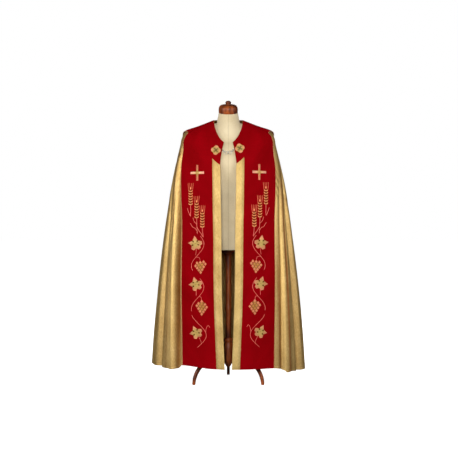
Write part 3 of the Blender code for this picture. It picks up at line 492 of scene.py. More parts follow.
def painted_fold_shade(side, across, v):
    """How much painted shade dulls the gold in the folds (+), or painted highlight brightens it on their
    crests (-).

    In front this is the wrinkles and a bell across each streak. Further back it is each place's depth
    below the level around it.
    """
    streaks = wrinkle_depth(side, across, v) / WRINKLE_DEPTH
    spread = 1 + STREAK_SPREAD * np.exp(np.minimum(STREAK_TOP - v, 0))
    for top, end, half_width, strength, first, last in STREAKS[side]:
        share = np.clip((v - first) / (last - first), 0, 1)
        beside = (across - top - (end - top) * share) / (half_width * spread)
        streaks += strength * rise_and_fall(v, first, last, CREASE_POWER) * bell(beside)
    around = sum(fold_depth(side, across + shift, v) for shift in HOLLOW_SHIFTS) / len(HOLLOW_SHIFTS)
    hollows = np.clip((fold_depth(side, across, v) - around) / HOLLOW_DEPTH, *HOLLOW_LIMITS)
    start, full = HOLLOW_START
    back = smooth_step((across - start) / (full - start))
    return streaks + (hollows - streaks) * back


def eased(x, rows):
    """A table's second column read at x of its first, with a smooth step between its rows."""
    places, values = np.array(rows).T
    k = np.clip(np.searchsorted(places, x, side="right") - 1, 0, len(places) - 2)
    share = (x - places[k]) / (places[k + 1] - places[k])
    return values[k] + (values[k + 1] - values[k]) * smooth_step(share)


def cope_surface(side, across, v, extra):
    """Outer points of the gold cloth: the envelope, pressed in level by the folds, with the hem's rise."""
    t = angle(across, v, extra)
    points = envelope(t, v)
    ahead = envelope(np.minimum(t + STEP, math.pi), v) - envelope(t - STEP, v)
    outward = unit(np.stack([ahead[..., 1], -ahead[..., 0], 0 * t], axis=-1))
    points = points - outward * fold_depth(side, across, v)[..., None]
    near_hem = smooth_step((v - LAST_RING + HEM_RINGS) / HEM_RINGS)
    points[..., 2] += eased(across, HEM[side]) * near_hem
    return points


def cope_grid(side, across, v, extra):
    """Outer points and outward directions of the cloth, v a row for each grid row."""
    points = cope_surface(side, across, v, extra)
    over = cope_surface(side, np.minimum(across + STEP, 3), v, extra)
    over -= cope_surface(side, np.maximum(across - STEP, 0), v, extra)
    down = cope_surface(side, across, np.minimum(v + STEP, LAST_RING), extra)
    down -= cope_surface(side, across, np.maximum(v - STEP, 0), extra)
    normals = unit(np.cross(down, over))
    mirror = np.array([SIDES[side], 1, 1])
    return points * mirror, normals * mirror


def pointed(side, rows, across):
    """Ring numbers of a grid whose row at the red corner climbs across the band and settles beyond it."""
    climb = np.interp(across, (0, 1, 2), (0, 1, 0))
    lower = np.interp(across, (0, 1, 2), (1, 1, 0)) * POINTED_SHIFT[side]
    share = np.interp(rows, (0, POINTED_ROW, POINTED_ROW + 1), (0, 1, 0))
    return rows[:, None] + (lower - POINTED_RISE[side] * climb) * share[:, None]


def rows_of(*stretches):
    """Ring numbers of a grid: (from, to, cells) for each stretch."""
    parts = [np.linspace(start, end, cells + 1)[:-1] for start, end, cells in stretches]
    return np.append(np.concatenate(parts), stretches[-1][1])


def run_length(points, axis):
    """Distance along a grid's lines, in metres."""
    steps = np.linalg.norm(np.diff(points, axis=axis), axis=-1)
    return np.insert(np.cumsum(steps, axis=axis), 0, 0.0, axis=axis)


# ---------------------------------------------------------------- meshes
def in_scene(name, data):
    """A new object of the mesh, light or camera, in the scene."""
    made = bpy.data.objects.new(name, data)
    bpy.context.scene.collection.objects.link(made)
    return made


def piece(name, mesh_data, finish, crease_angle=50):
    """A mesh object from (points, faces, uv, edge), all per point, that rides on the part.

    faces is a list of arrays, one for each number of corners. The UV map "cloth" is in metres. The attribute
    "edge" is a point's distance from its piece's edge, in metres, or on a rosette as a share of its radius.
    """
    points, faces, uv, edge = mesh_data
    mesh = bpy.data.meshes.new(name)
    mesh.from_pydata(points.tolist(), [], [row for block in faces for row in block.tolist()])
    corners = np.empty(len(mesh.loops), np.int32)
    mesh.loops.foreach_get("vertex_index", corners)
    layer = mesh.uv_layers.new(name="cloth")
    layer.data.foreach_set("uv", uv.astype(np.float32)[corners].ravel())
    mesh.attributes.new("edge", "FLOAT", "POINT").data.foreach_set("value", edge.astype(np.float32))
    mesh.shade_smooth()
    mesh.set_sharp_from_angle(angle=math.radians(crease_angle))
    mesh.materials.append(finish)
    made = in_scene(name, mesh)
    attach(made, "root")
    return made


def joined(parts):
    """Several (points, faces, uv, edge) meshes as one."""
    points, faces, uvs, edges, start = [], [], [], [], 0
    for part_points, part_faces, uv, edge in parts:
        points.append(part_points)
        faces += [block + start for block in part_faces]
        uvs.append(uv)
        edges.append(edge)
        start += len(part_points)
    return np.concatenate(points), faces, np.concatenate(uvs), np.concatenate(edges)


def wound_faces(rows, columns, closed=False):
    """The faces of a grid whose rows are rings: its quads, and a cap on its first and its last row.

    Where it is closed, the last row runs on into the first, and there are no caps.
    """
    index = np.arange(rows * columns).reshape(rows, columns)
    here, ahead = (index, np.roll(index, -1, 0)) if closed else (index[:-1], index[1:])
    quads = np.stack([here, ahead, np.roll(ahead, -1, 1), np.roll(here, -1, 1)], -1).reshape(-1, 4)
    return [quads] if closed else [quads, index[:1], index[-1:, ::-1]]


def sheet_mesh(side, outer, normals, thickness, keep=None):
    """A closed wall of cloth under a grid of outer points, where keep marks the cells that are cloth.

    The inner face lies a thickness under the outer one, and a rim of quads joins them round each edge.
    The UV of a point is how far it lies along its row and down its column.
    """
    rows, columns = outer.shape[:2]
    keep = np.ones((rows - 1, columns - 1), bool) if keep is None else keep
    over = run_length(outer, 1)
    down = run_length(outer, 0)
    edge = np.minimum.reduce([over, over[:, -1:] - over, down, down[-1:] - down])
    inner = outer - thickness * normals
    index = np.arange(rows * columns).reshape(rows, columns)
    corners = (index[:-1, :-1], index[:-1, 1:], index[1:, 1:], index[1:, :-1])
    a, b, c, d = (corner[keep] for corner in corners)
    top = np.stack([a, d, c, b], 1)
    ends = np.concatenate([np.stack(pair, 1) for pair in ((a, d), (d, c), (c, b), (b, a))])
    size = rows * columns
    rim = ends[~np.isin(ends[:, 0] * size + ends[:, 1], ends[:, 1] * size + ends[:, 0])]
    rim_faces = np.stack([rim[:, 1], rim[:, 0], rim[:, 0] + size, rim[:, 1] + size], 1)
    faces = np.concatenate([top, top[:, ::-1] + size, rim_faces])
    used, faces = np.unique(faces, return_inverse=True)
    faces = faces.reshape(-1, 4)
    uv = np.stack([over, down], -1).reshape(-1, 2)
    points = np.concatenate([outer.reshape(-1, 3), inner.reshape(-1, 3)])[used]
    faces = faces[:, ::-1] if side == "left" else faces
    return points, [faces], np.concatenate([uv, uv])[used], np.tile(edge.ravel(), 2)[used]


def tube_mesh(path, radius, sides, closed=False, flat=1.0):
    """A tube round a path: a circle carried along it, level with the path, its height times flat."""
    path = np.asarray(path, float)
    along = unit(np.roll(path, -1, 0) - np.roll(path, 1, 0) if closed else np.gradient(path, axis=0))
    reference = np.where(np.abs(along[:, 2:]) < 0.9, (0.0, 0.0, 1.0), (0.0, 1.0, 0.0))
    beside = unit(np.cross(along, reference))
    above = np.cross(beside, along)
    turn = np.linspace(0, 2 * math.pi, sides, endpoint=False)
    ring = np.cos(turn)[:, None] * beside[:, None] + flat * np.sin(turn)[:, None] * above[:, None]
    points = path[:, None] + radius * ring
    uv = np.stack(np.broadcast_arrays(run_length(path, 0)[:, None], radius * turn), -1).reshape(-1, 2)
    return points.reshape(-1, 3), wound_faces(len(path), sides, closed), uv, np.zeros(len(uv))


def lathe_mesh(profile):
    """A turned solid round the Z axis from a profile of radius and height.

    Each softening cuts the profile's corners off, a quarter of the way along, which rounds them.
    """
    profile = np.array(profile)
    if profile[0, 1] < profile[-1, 1]:
        profile = profile[::-1]
    for _ in range(TURNED_SOFTENING):
        start, end = profile[:-1], profile[1:]
        cut = np.stack([0.75 * start + 0.25 * end, 0.25 * start + 0.75 * end], 1).reshape(-1, 2)
        profile = np.concatenate([profile[:1], cut, profile[-1:]])
    turn = np.linspace(0, 2 * math.pi, TURNED_SIDES, endpoint=False)
    radius, height = profile[:, :1], profile[:, 1:]
    points = np.stack([radius * np.cos(turn), radius * np.sin(turn), height + 0 * turn], -1)
    uv = np.stack(np.broadcast_arrays(turn * 0.05, run_length(profile, 0)[:, None]), -1).reshape(-1, 2)
    return points.reshape(-1, 3), wound_faces(len(profile), TURNED_SIDES), uv, np.zeros(len(uv))


def smooth_path(points, samples):
    """A Catmull-Rom curve through points, as a number of samples."""
    points = np.array(points, float)
    v = np.linspace(0, len(points) - 1, samples)
    return smooth_along(points, np.repeat(v[:, None], points.shape[1], 1))


# ---------------------------------------------------------------- the cloth
def make_cape(side, finish):
    """Half of the gold cope: a wall under the shared surface, finer from the panel's edge to the back."""
    under_band, under_panel = CAPE_UNDER
    across = rows_of((0, 1, under_band), (1, 2, under_panel), (2, 3, CAPE_CELLS))
    rows = rows_of((0, TOP_RINGS, CAPE_ROWS[0]), (TOP_RINGS, LAST_RING, CAPE_ROWS[1]))
    outer, normals = cope_grid(side, across, np.repeat(rows[:, None], len(across), 1), 0.0)
    outer[:, -1, 0] = SIDES[side] * SEAM / 2
    normals[:, -1, 0] = 0
    made = piece(f"cope_{side}", sheet_mesh(side, outer, normals, CLOTH), finish)
    # Painted shade in the folds and painted highlight on their crests, kept with the mesh's points.
    return shaded(made, painted_fold_shade(side, across, rows[:, None]))


def shaded(made, shade):
    """Keep the painted shade and highlight of a sheet's grid with its points, on both of its faces."""
    values = np.tile(shade.ravel().astype(np.float32), 2)
    made.data.attributes.new("shade", "FLOAT", "POINT").data.foreach_set("value", values)
    return made


def trim_mesh(side, across, rows, hand, keep=None):
    """A trim laid on the gold cloth, whose outer face drops by a square towards its edges.

    Band and panel each stay half a seam clear of where they meet: hand is -1 for the band, 1 for the panel.
    """
    extra = np.where(across == 1, hand * SEAM / 2, 0.0)
    v = pointed(side, rows, across) - hand * POINTED_SEAM / 2 * (rows == POINTED_ROW)[:, None]
    points, normals = cope_grid(side, across, v, extra)
    over, down = run_length(points, 1), run_length(points, 0)
    edge = np.minimum.reduce([over, over[:, -1:] - over, down[-1:] - down])
    drop = TRIM_CLOTH * EDGE_DROP * (1 - np.clip(edge / EDGE_ROUNDING, 0, 1)) ** 2
    outer = points + (SEAM + TRIM_CLOTH - drop)[..., None] * normals
    return sheet_mesh(side, outer, normals, TRIM_CLOTH, keep)


def make_band(side, finish):
    """The gold band along the opening, from the red corner's pointed line to the hem."""
    fine, broad = BAND_CELLS
    across = rows_of((0, TRIM_EDGE, fine), (TRIM_EDGE, 1 - TRIM_EDGE, broad), (1 - TRIM_EDGE, 1, fine))
    rows = rows_of((POINTED_ROW, TOP_RINGS, TRIM_ROWS[0]), (TOP_RINGS, LAST_RING, TRIM_ROWS[1]))
    made = piece(f"band_{side}", trim_mesh(side, across, rows, -1), finish)
    # Painted shade and painted highlight in streaks down the band.
    shade = sum(strength * bell((across - at) / half_width)
                for at, half_width, strength in BAND_PAINTED_LIGHT[side])
    return shaded(made, np.repeat(shade[None], len(rows), 0))


def make_panel(side, finish):
    """The red panel with its corner, which covers the band's place down to the pointed line."""
    fine, broad = BAND_CELLS
    across = rows_of((0, TRIM_EDGE, fine), (TRIM_EDGE, 1, broad), (1, PANEL_EDGE, PANEL_CELLS[0]),
                     (PANEL_EDGE, 2, PANEL_CELLS[1]))
    rows = rows_of((0, POINTED_ROW, CORNER_ROWS), (POINTED_ROW, TOP_RINGS, TRIM_ROWS[0]),
                   (TOP_RINGS, LAST_RING, TRIM_ROWS[1]))
    keep = np.ones((len(rows) - 1, len(across) - 1), bool)
    keep[CORNER_ROWS:, :fine + broad] = False
    return piece(f"panel_{side}", trim_mesh(side, across, rows, 1, keep), finish)


def make_piping(side, finish):
    """The piping between the red panel and the gold cloth: a cord half sunk in the seam."""
    rows = rows_of((PIPING_START, TOP_RINGS, PIPING_ROWS[0]), (TOP_RINGS, LAST_RING, PIPING_ROWS[1]))
    extra = np.array([SEAM + PIPING_WIDTH / 2])
    points, normals = cope_grid(side, np.array([2.0]), rows[:, None], extra)
    path = (points + (SEAM + PIPING_HEIGHT / 2) * normals)[:, 0]
    tube = tube_mesh(path, PIPING_WIDTH / 2, PIPING_SIDES, flat=PIPING_FLATNESS)
    return piece(f"piping_cord_{side}", tube, finish)


def hood_surface(reach, v):
    """Points under the hood, where reach is 0 at the centre back and 1 at its side edge."""
    lap = HOOD_LAP[0] + (HOOD_LAP[1] - HOOD_LAP[0]) * smooth_step(v / HOOD_CORNER_RING)
    return envelope(math.pi - reach * (math.pi / 2 + lap), v)


def hood_grid(h, v):
    """The hood's outer points and outward directions.

    It is lifted by a cube of its reach at its stiff side corners, and by soft sine waves round it.
    """
    reach = np.abs(h)
    points = hood_surface(reach, v)
    over = hood_surface(reach + STEP, v) - hood_surface(reach - STEP, v)
    down = hood_surface(reach, v + STEP) - hood_surface(reach, np.maximum(v - STEP, 0))
    normals = unit(np.cross(over, down))
    first, grown = HOOD_TIP_RINGS
    lift = HOOD_LIFT + HOOD_TIP_LIFT * smooth_step((v - first) / grown) * reach**3
    for waves, height, phase in HOOD_WAVES:
        lift = lift + height * (1 + np.sin(waves * math.pi * h + phase)) * smooth_step(v / 4)
    mirror = np.stack([np.where(h < 0, -1, 1), 1 + 0 * h, 1 + 0 * h], -1)
    return (points + (lift + HOOD_CLOTH)[..., None] * normals) * mirror, normals * mirror


def hood_lowest(h):
    """The ring of the hood's lower edge: from the corner's to the point's by a power of the way in."""
    return HOOD_CORNER_RING + (HOOD_POINT_RING - HOOD_CORNER_RING) * (1 - np.abs(h)) ** HOOD_SWEEP


def make_hood(finish):
    """The flat hood on the back: a stiff wall, shallow at the shoulders and pointed at the middle."""
    h = np.linspace(-1, 1, 2 * HOOD_HALF + 1)
    v = np.linspace(0, 1, HOOD_ROWS + 1)[:, None] * hood_lowest(h)
    outer, normals = hood_grid(np.repeat(h[None], len(v), 0), v)
    return piece("back_hood", sheet_mesh("left", outer, normals, HOOD_CLOTH), finish)


def make_hood_piping(finish):
    """The piping round the hood's free edge, from tip to tip."""
    h = np.linspace(-1, 1, 6 * HOOD_HALF + 1)[None]
    points, normals = hood_grid(h, hood_lowest(h))
    path = (points - HOOD_CLOTH / 2 * normals)[0]
    return piece("hood_piping", tube_mesh(path, HOOD_PIPING, PIPING_SIDES), finish)


# ---------------------------------------------------------------- needlework
def locate(side, out, height):
    """Across and ring of the places that lie so far out and so high on a panel, by Newton's method."""
    across = np.full(out.shape, 1.5)
    v = np.interp(-height, -RING["front_z"], np.arange(LAST_RING + 1.0))

    def seen(a, w):
        return cope_surface(side, a, w[None], 0.0)[0][:, [0, 2]]

    for _ in range(LOCATE_STEPS):
        here = seen(across, v)
        by_across = (seen(across + STEP, v) - here) / STEP
        by_ring = (seen(across, v + STEP) - here) / STEP
        miss = np.stack([out, height], 1) - here
        flat = by_across[:, 0] * by_ring[:, 1] - by_across[:, 1] * by_ring[:, 0]
        across += (miss[:, 0] * by_ring[:, 1] - miss[:, 1] * by_ring[:, 0]) / flat
        v += (by_across[:, 0] * miss[:, 1] - by_across[:, 1] * miss[:, 0]) / flat
        across, v = np.clip(across, 0.01, 1.99), np.clip(v, 0.01, LAST_RING - 0.01)
    return across, v


def on_panel(side, flat):
    """Points given by out, height and relief, laid on the red panel."""
    across, v = locate(side, flat[:, 0], flat[:, 1] + NEEDLEWORK_LIFT[side])
    points, normals = cope_grid(side, across, v[None], 0.0)
    return points[0] + (SEAM + TRIM_CLOTH + flat[:, 2])[:, None] * normals[0]


def line(s):
    """Even, with rounded ends: the root of the way from each end."""
    return np.minimum(1, 4 * np.sqrt(np.minimum(s, 1 - s)) + 0.25)


def almond(s):
    """Pointed at both ends: half a sine wave to a power."""
    return np.sin(math.pi * np.clip(s, 0.03, 0.97)) ** 0.75


def blade(s):
    """Full from its foot, and pointed at its tip."""
    return np.clip(np.minimum(0.7 + 2 * s, (1 - s) / 0.42), 0.05, 1)


def lobe(s):
    """Broad at the middle of its length, with a blunt end."""
    return np.clip(np.minimum(0.30 + s / 0.60, 0.58 + (1 - s) / 0.80), 0.05, 1)


def kite(s):
    """As a lobe, and pointed at its end."""
    return np.clip(np.minimum(0.30 + s / 0.60, 0.08 + (1 - s) / 0.55), 0.05, 1)


def diamond(s):
    """Widest at the middle, and straight from there to two points."""
    return np.clip(1.1 - np.abs(2 * s - 1) * 1.1, 0.06, 1)


def bar(s):
    """Even, with square ends."""
    return np.clip(0.75 + 12 * np.minimum(s, 1 - s), 0, 1)


def satin(path, half_width, relief, shape, samples):
    """One raised stroke of satin stitch on the flat: half an ellipse carried along a smooth path.

    shape gives the share of the width at each share of the length. The points are out, height and relief.
    """
    path = smooth_path(path, samples)
    along = unit(np.gradient(path, axis=0))
    beside = np.stack([-along[:, 1], along[:, 0]], 1)
    width = half_width * shape(np.linspace(0, 1, samples))
    offset = width[:, None] * SECTION
    dome = np.sqrt(np.clip(1 - SECTION**2, 0, 1))
    rise = relief * np.minimum(1, (width / half_width) ** 0.5)[:, None] * dome - STITCH_SINK * (dome < 0.1)
    points = np.concatenate([path[:, None] + offset[..., None] * beside[:, None], rise[..., None]], -1)
    run = np.broadcast_to(run_length(path, 0)[:, None], offset.shape)
    uv = np.stack([run, offset], -1).reshape(-1, 2)
    edge = width[:, None] - np.abs(offset)
    return points.reshape(-1, 3), wound_faces(*offset.shape), uv, edge.ravel()


def turned_by(angle, reach, middle):
    """Places a reach away from the middle, at an angle in degrees from straight up, positive outwards."""
    angle = np.radians(angle)
    return np.stack([middle[0] + reach * np.sin(angle), middle[1] + reach * np.cos(angle)], -1)


def needlework(name, side, strokes, finish):
    """Strokes of satin stitch laid on a panel as one piece. Their faces are turned to look outwards."""
    points, faces, uv, edge = joined(strokes)
    points = on_panel(side, points)
    if side == "right":
        faces = [block[:, ::-1] for block in faces]
    return piece(f"{name}_{side}", (points, faces, uv, edge), finish)


def cross_strokes():
    """The bars of the cross: the upright under the level one."""
    (x, z), (wide, tall), (upright, level) = CROSS, CROSS_HALF, CROSS_BARS
    return ([satin(((x, z - tall), (x, z), (x, z + tall)), upright, RELIEF["upright"], bar, 40)],
            [satin(((x - wide, z), (x, z), (x + wide, z)), level, RELIEF["level"], bar, 40)])


def ear_strokes():
    """The ears: pairs of grains that slant up from a dark stalk, one grain on top, and the awns over it."""
    grains, awns, stalks = [], [], []
    aside, half_wide = GRAIN
    for x, z in EARS:
        for row in range(EAR_ROWS):
            foot = z + EAR_PITCH * (row + 0.1)
            for hand in (-1, 1):
                path = ((x - hand * 0.0006, foot + 0.0005), (x + hand * 0.60 * aside, foot + 0.0028),
                        (x + hand * aside, foot + 0.0110))
                grains.append(satin(path, half_wide, RELIEF["grain"], blade, 11))
        top = z + EAR_PITCH * EAR_ROWS
        path = ((x, top - 0.001), (x, top + 0.013))
        grains.append(satin(path, half_wide, RELIEF["top_grain"], almond, 9))
        for foot_aside, tip_aside in AWNS:
            for hand in (-1, 1):
                path = ((x + hand * foot_aside, top - 0.004), (x + hand * tip_aside, top + AWN_LENGTH))
                awns.append(satin(path, AWN_HALF, RELIEF["awn"], line, 12))
        stalks.append(satin(((x, z - 0.002), (x, top)), EAR_STALK_HALF, RELIEF["stalk"], line, 12))
    return grains, awns, stalks


def stem_strokes():
    """The stalks of the ears, the vine's winding stems, and the stalks of leaves and bunches."""
    strokes = [satin(path, STEM_HALF, RELIEF["stem"], line, 24) for path in STALKS]
    for turn, start, end, middle, swing in VINES:
        z = np.linspace(turn + start, turn + end, 13)
        x = middle - swing * np.cos(2 * math.pi * (z - turn) / VINE_PITCH)
        strokes.append(satin(np.stack([x, z], 1), STEM_HALF, RELIEF["stem"], line, 72))
    for path in (*LEAF_STALKS, *BUNCH_STALKS, TENDRIL):
        strokes.append(satin(path, STEM_HALF * 0.85, RELIEF["thin_stem"], line, 24))
    return strokes


def leaf_strokes():
    """The vine leaves: five blunt lobes round a middle, and dark stitches between them."""
    lobes, notches = [], []
    for x, z, lean, size in LEAVES:
        for turn, reach in LEAF_LOBES:
            path = turned_by(turn - lean, size * np.array([0.0015, reach * 0.5, reach]), (x, z))
            lobes.append(satin(path, size * LEAF_LOBE, RELIEF["lobe"], kite if turn < 90 else lobe, 17))
        start, end, half_wide = LEAF_NOTCH
        for turn in LEAF_NOTCHES:
            path = turned_by(turn - lean, size * np.array([start, (start + end) / 2, end]), (x, z))
            notches.append(satin(path, half_wide, RELIEF["notch"], almond, 9))
    return lobes, notches


def berry_strokes():
    """The bunches: rows of diamond berries with paler ones round the outside, on a dark ground."""
    pitch_x, pitch_z, half_long, half_wide = BERRY
    inner, outer, ground = [], [], []
    for x, z, lean, rise, rows in BUNCHES:
        for row, count in enumerate(rows):
            for number in range(count):
                aside = (number - (count - 1) / 2) * pitch_x
                drop = row * pitch_z + aside * rise
                angle = math.degrees(math.atan2(aside, -drop)) - lean
                middle = turned_by(angle, math.hypot(aside, drop), (x, z))
                ends = [middle + (0, half_long * end) for end in (-1, 0, 1)]
                inside = 0 < number < count - 1 and row > 0
                (inner if inside else outer).append(satin(ends, half_wide, RELIEF["berry"], diamond, 11))
        foot = turned_by(180 - lean, (len(rows) - 1) * pitch_z, (x, z))
        path = ((x, z + 0.004), (np.array((x, z)) * 2 + foot) / 3, foot)
        ground.append(satin(path, GROUND_HALF, RELIEF["ground"], almond, 15))
    return inner, outer, ground


# ---------------------------------------------------------------- the clasp
def panel_plane(side, x, z):
    """The plane y = a * x + b * z + c that fits the red panel's top round a place seen from the front."""
    across = np.linspace(0, 2, 61)
    v = np.repeat(np.linspace(0, 3, 61)[:, None], 61, 1)
    points, normals = cope_grid(side, across, v, 0.0)
    points = (points + (SEAM + TRIM_CLOTH) * normals).reshape(-1, 3)
    near = np.argsort((points[:, 0] - x) ** 2 + (points[:, 2] - z) ** 2)[:PLANE_POINTS]
    fit = np.c_[points[near][:, [0, 2]], np.ones(PLANE_POINTS)]
    return np.linalg.lstsq(fit, points[near][:, 1], rcond=None)[0]


def make_rosette(side, finish):
    """The embroidered patch of the clasp: a domed disc whose radius swells over four petals.

    The relief over the radius is a low dome, creased between the petals, and a cord's round at the edge.
    """
    x, z = ROSETTE_ACROSS[side], ROSETTE_HEIGHT[side]
    slope_x, slope_z, level = panel_plane(side, x, z)
    turn = np.linspace(0, 2 * math.pi, 96, endpoint=False)
    share = np.array(ROSETTE_SHARES)[:, None]
    radius = ROSETTE_RADIUS * (ROSETTE_WAIST + (1 - ROSETTE_WAIST) * np.abs(np.cos(2 * turn)) ** 1.2)
    flat = share * radius
    (deep, half_width), (high, middle, half_cord) = ROSETTE_CREASE, ROSETTE_CORD
    crease = deep * bell(np.sin(2 * turn + math.pi / 2) / half_width) * smooth_step(share / 0.4)
    cord = high * np.sqrt(np.clip(1 - ((share - middle) / half_cord) ** 2, 0, 1))
    relief = ROSETTE_THICK * (1.15 - 0.35 * share**2) - crease * (share < 0.83) + cord
    spun = turn + ROSETTE_TURN[side]
    grid_x, grid_z = x + flat * np.cos(spun), z + flat * np.sin(spun)
    back_y = slope_x * grid_x + slope_z * grid_z + level - ROSETTE_LIFT
    front = np.stack([grid_x, back_y - relief, grid_z], -1).reshape(-1, 3)
    back = np.stack([grid_x, back_y, grid_z], -1).reshape(-1, 3)
    quads, centre, around = wound_faces(*flat.shape)
    last, beside = around[0, ::-1], np.roll(around[0, ::-1], -1)
    rim = np.stack([last, last + flat.size, beside + flat.size, beside], 1)
    faces = [quads, quads[:, ::-1] + flat.size, rim, centre, centre[:, ::-1] + flat.size]
    uv = np.stack([flat * np.cos(turn), flat * np.sin(turn)], -1).reshape(-1, 2)
    edge = np.broadcast_to(1 - share, flat.shape).ravel()
    mesh = (np.concatenate([front, back]), faces, np.tile(uv, (2, 1)), np.tile(edge, 2))
    return piece(f"clasp_rosette_{side}", mesh, finish)


def make_chain(finish):
    """Oval links from an eye on each side, in a bow to two round hook rings. Every second link is edge-on.

    The bow is a parabola that sags as far as the links' whole length lets it.
    """
    reach = np.array([link[0] for link in CHAIN])
    spacing = reach[:-1] + reach[1:] - 2 * LINK_WIRE - SEAM
    (left_x, left_z), (right_x, right_z) = (CHAIN_ENDS[side] for side in SIDES)
    span = right_x - left_x
    sag = span * math.sqrt(3 / 8 * (spacing.sum() / span - 1))
    share = np.linspace(0, 1, ARC_SAMPLES)
    bow = np.stack([left_x + span * share,
                    left_z + (right_z - left_z) * share - 4 * sag * share * (1 - share)], 1)
    arc = run_length(bow, 0)
    at = np.concatenate([[0], np.cumsum(spacing)]) / spacing.sum() * arc[-1]
    x, z = (np.interp(at, arc, bow[:, k]) for k in (0, 1))
    lean = np.arctan2(np.gradient(z), np.gradient(x))
    seats = [np.dot(panel_plane(side, *CHAIN_ENDS[side]), (*CHAIN_ENDS[side], 1)) for side in SIDES]
    y = np.interp(x, (left_x, right_x), seats) - LINK[1] - LINK_WIRE - SEAM
    turn = np.linspace(0, 2 * math.pi, LINK_POINTS, endpoint=False)
    links = []
    for number, (half_length, half_width) in enumerate(CHAIN):
        along, beside = half_length * np.cos(turn), half_width * np.sin(turn)
        level, upright = (beside, 0 * turn) if number % 2 == 0 else (0 * turn, beside)
        tilt = lean[number]
        path = np.stack([along * math.cos(tilt) - upright * math.sin(tilt), level,
                         along * math.sin(tilt) + upright * math.cos(tilt)], 1)
        path += (x[number], y[number], z[number])
        links.append(tube_mesh(path, LINK_WIRE, LINK_SIDES, closed=True))
    return piece("clasp_chain", joined(links), finish)


# ---------------------------------------------------------------- the form and its stand
def make_form(finish):
    """The padded torso: rings of the neck, of the shoulders that fill the cope, and of chest, waist and hip.

    Smooth curves run down through the rings, and copies drawn in to the middle close the neck and the hip.
    """
    t = np.linspace(0, math.pi, 61)

    def shoulder_ring(v):
        w = np.full(len(t), float(v))
        points = envelope(t, w)
        over = envelope(t + STEP, w) - envelope(t - STEP, w)
        over[0], over[-1] = (1, 0, 0), (-1, 0, 0)
        down = envelope(t, w + STEP) - envelope(t, w - STEP)
        normals = unit(np.cross(down, over))
        ease = CLOTH + FORM_GAP + FORM_EASE * np.cos(t) ** 2
        return points - ease[:, None] * normals

    def plain_ring(row, ridge=1.8):
        names = ("half_width", "centre_y", "front_y", "back_y", "front_z", "side_z", "back_z")
        return ring_point(t, dict(zip(names, row), plan=2.0, ridge=ridge))

    def neck_ring(radius, height, tilt_share):
        drop = radius * math.tan(NECK_TILT) * tilt_share
        return plain_ring((radius, 0, -radius, radius, height - drop, height, height + drop), 1.0)

    rings = [neck_ring(*row) for row in NECK]
    rings.append(plain_ring(NECK_BASE, 1.3))
    rings += [shoulder_ring(v) for v in FORM_SHOULDER]
    rings += [plain_ring(row) for row in FORM_BODY]
    flat = np.array(rings).reshape(len(rings), -1)
    halves = smooth_path(flat, FORM_STEPS * (len(rings) - 1) + 1).reshape(-1, len(t), 3)
    loops = np.concatenate([halves, halves[:, -2:0:-1] * (-1, 1, 1)], 1)
    for end, step in ((0, -1), (-1, 1)):
        middle = loops[end].mean(0)
        inset = [middle + (loops[end] - middle) * share for share in FORM_INSETS]
        loops = np.concatenate([inset[::-1], loops] if step < 0 else [loops, inset])
    uv = np.stack([run_length(loops, 1), run_length(loops, 0)], -1).reshape(-1, 2)
    mesh = (loops.reshape(-1, 3), wound_faces(*loops.shape[:2]), uv, np.zeros(len(uv)))
    return piece("torso_cover", mesh, finish, 60)


def place(mesh, tilt, height):
    """A mesh tipped forward about the X axis and set on the form's axis at a height."""
    points, *rest = mesh
    cosine, sine = math.cos(tilt), math.sin(tilt)
    turned = np.array([[1, 0, 0], [0, cosine, -sine], [0, sine, cosine]])
    return (points @ turned.T + (0, AXIS_Y, height), *rest)


def make_leg(number, finish):
    """A leg: a soft-cornered section carried out of the hub and down along a quarter of an ellipse."""
    share = np.linspace(0, 1, 41)
    swing = share * math.pi / 2
    out = LEG_START[0] + (LEG_REACH - LEG_START[0]) * np.sin(swing)
    height = LEG_START[1] * np.cos(swing)
    run = np.stack([np.gradient(out), np.gradient(height)], 1)
    run[0], run[-1] = (1, 0), (0, -1)
    run = unit(run)
    around = np.linspace(0, 2 * math.pi, 24, endpoint=False)
    waves = np.cos(around), np.sin(around)
    section, broad = (np.sign(wave) * np.abs(wave) ** LEG_CORNERS for wave in waves)
    trim = 1 - 0.12 * bell((share - 1) / 0.012)
    deep = (np.interp(share, (0, 1), LEG_HEIGHTS) * trim)[:, None] / 2 * section
    wide = (np.interp(share, (0, 1), LEG_WIDTHS) * trim)[:, None] / 2 * broad
    points = np.stack([out[:, None] - run[:, 1:] * deep, wide, height[:, None] + run[:, :1] * deep], -1)
    heading = math.pi / 2 + number * 2 * math.pi / 3
    cosine, sine = math.cos(heading), math.sin(heading)
    turned = np.array([[cosine, -sine, 0], [sine, cosine, 0], [0, 0, 1]])
    points = points.reshape(-1, 3) @ turned.T + (0, AXIS_Y, 0)
    uv = np.stack(np.broadcast_arrays(run_length(np.stack([out, height], 1), 0)[:, None], 0.012 * around), -1)
    mesh = (points, wound_faces(len(share), len(around)), uv.reshape(-1, 2), np.zeros(len(points)))
    return piece(f"stand_leg_{number + 1}", mesh, finish)


# ---------------------------------------------------------------- finishes
def colour(red, green, blue):
    """A colour given as seen on a screen, 0 to 255, in the shader's own measure."""
    seen = np.array([red, green, blue]) / 255
    return (*np.where(seen > 0.04045, ((seen + 0.055) / 1.055) ** 2.4, seen / 12.92).tolist(), 1.0)


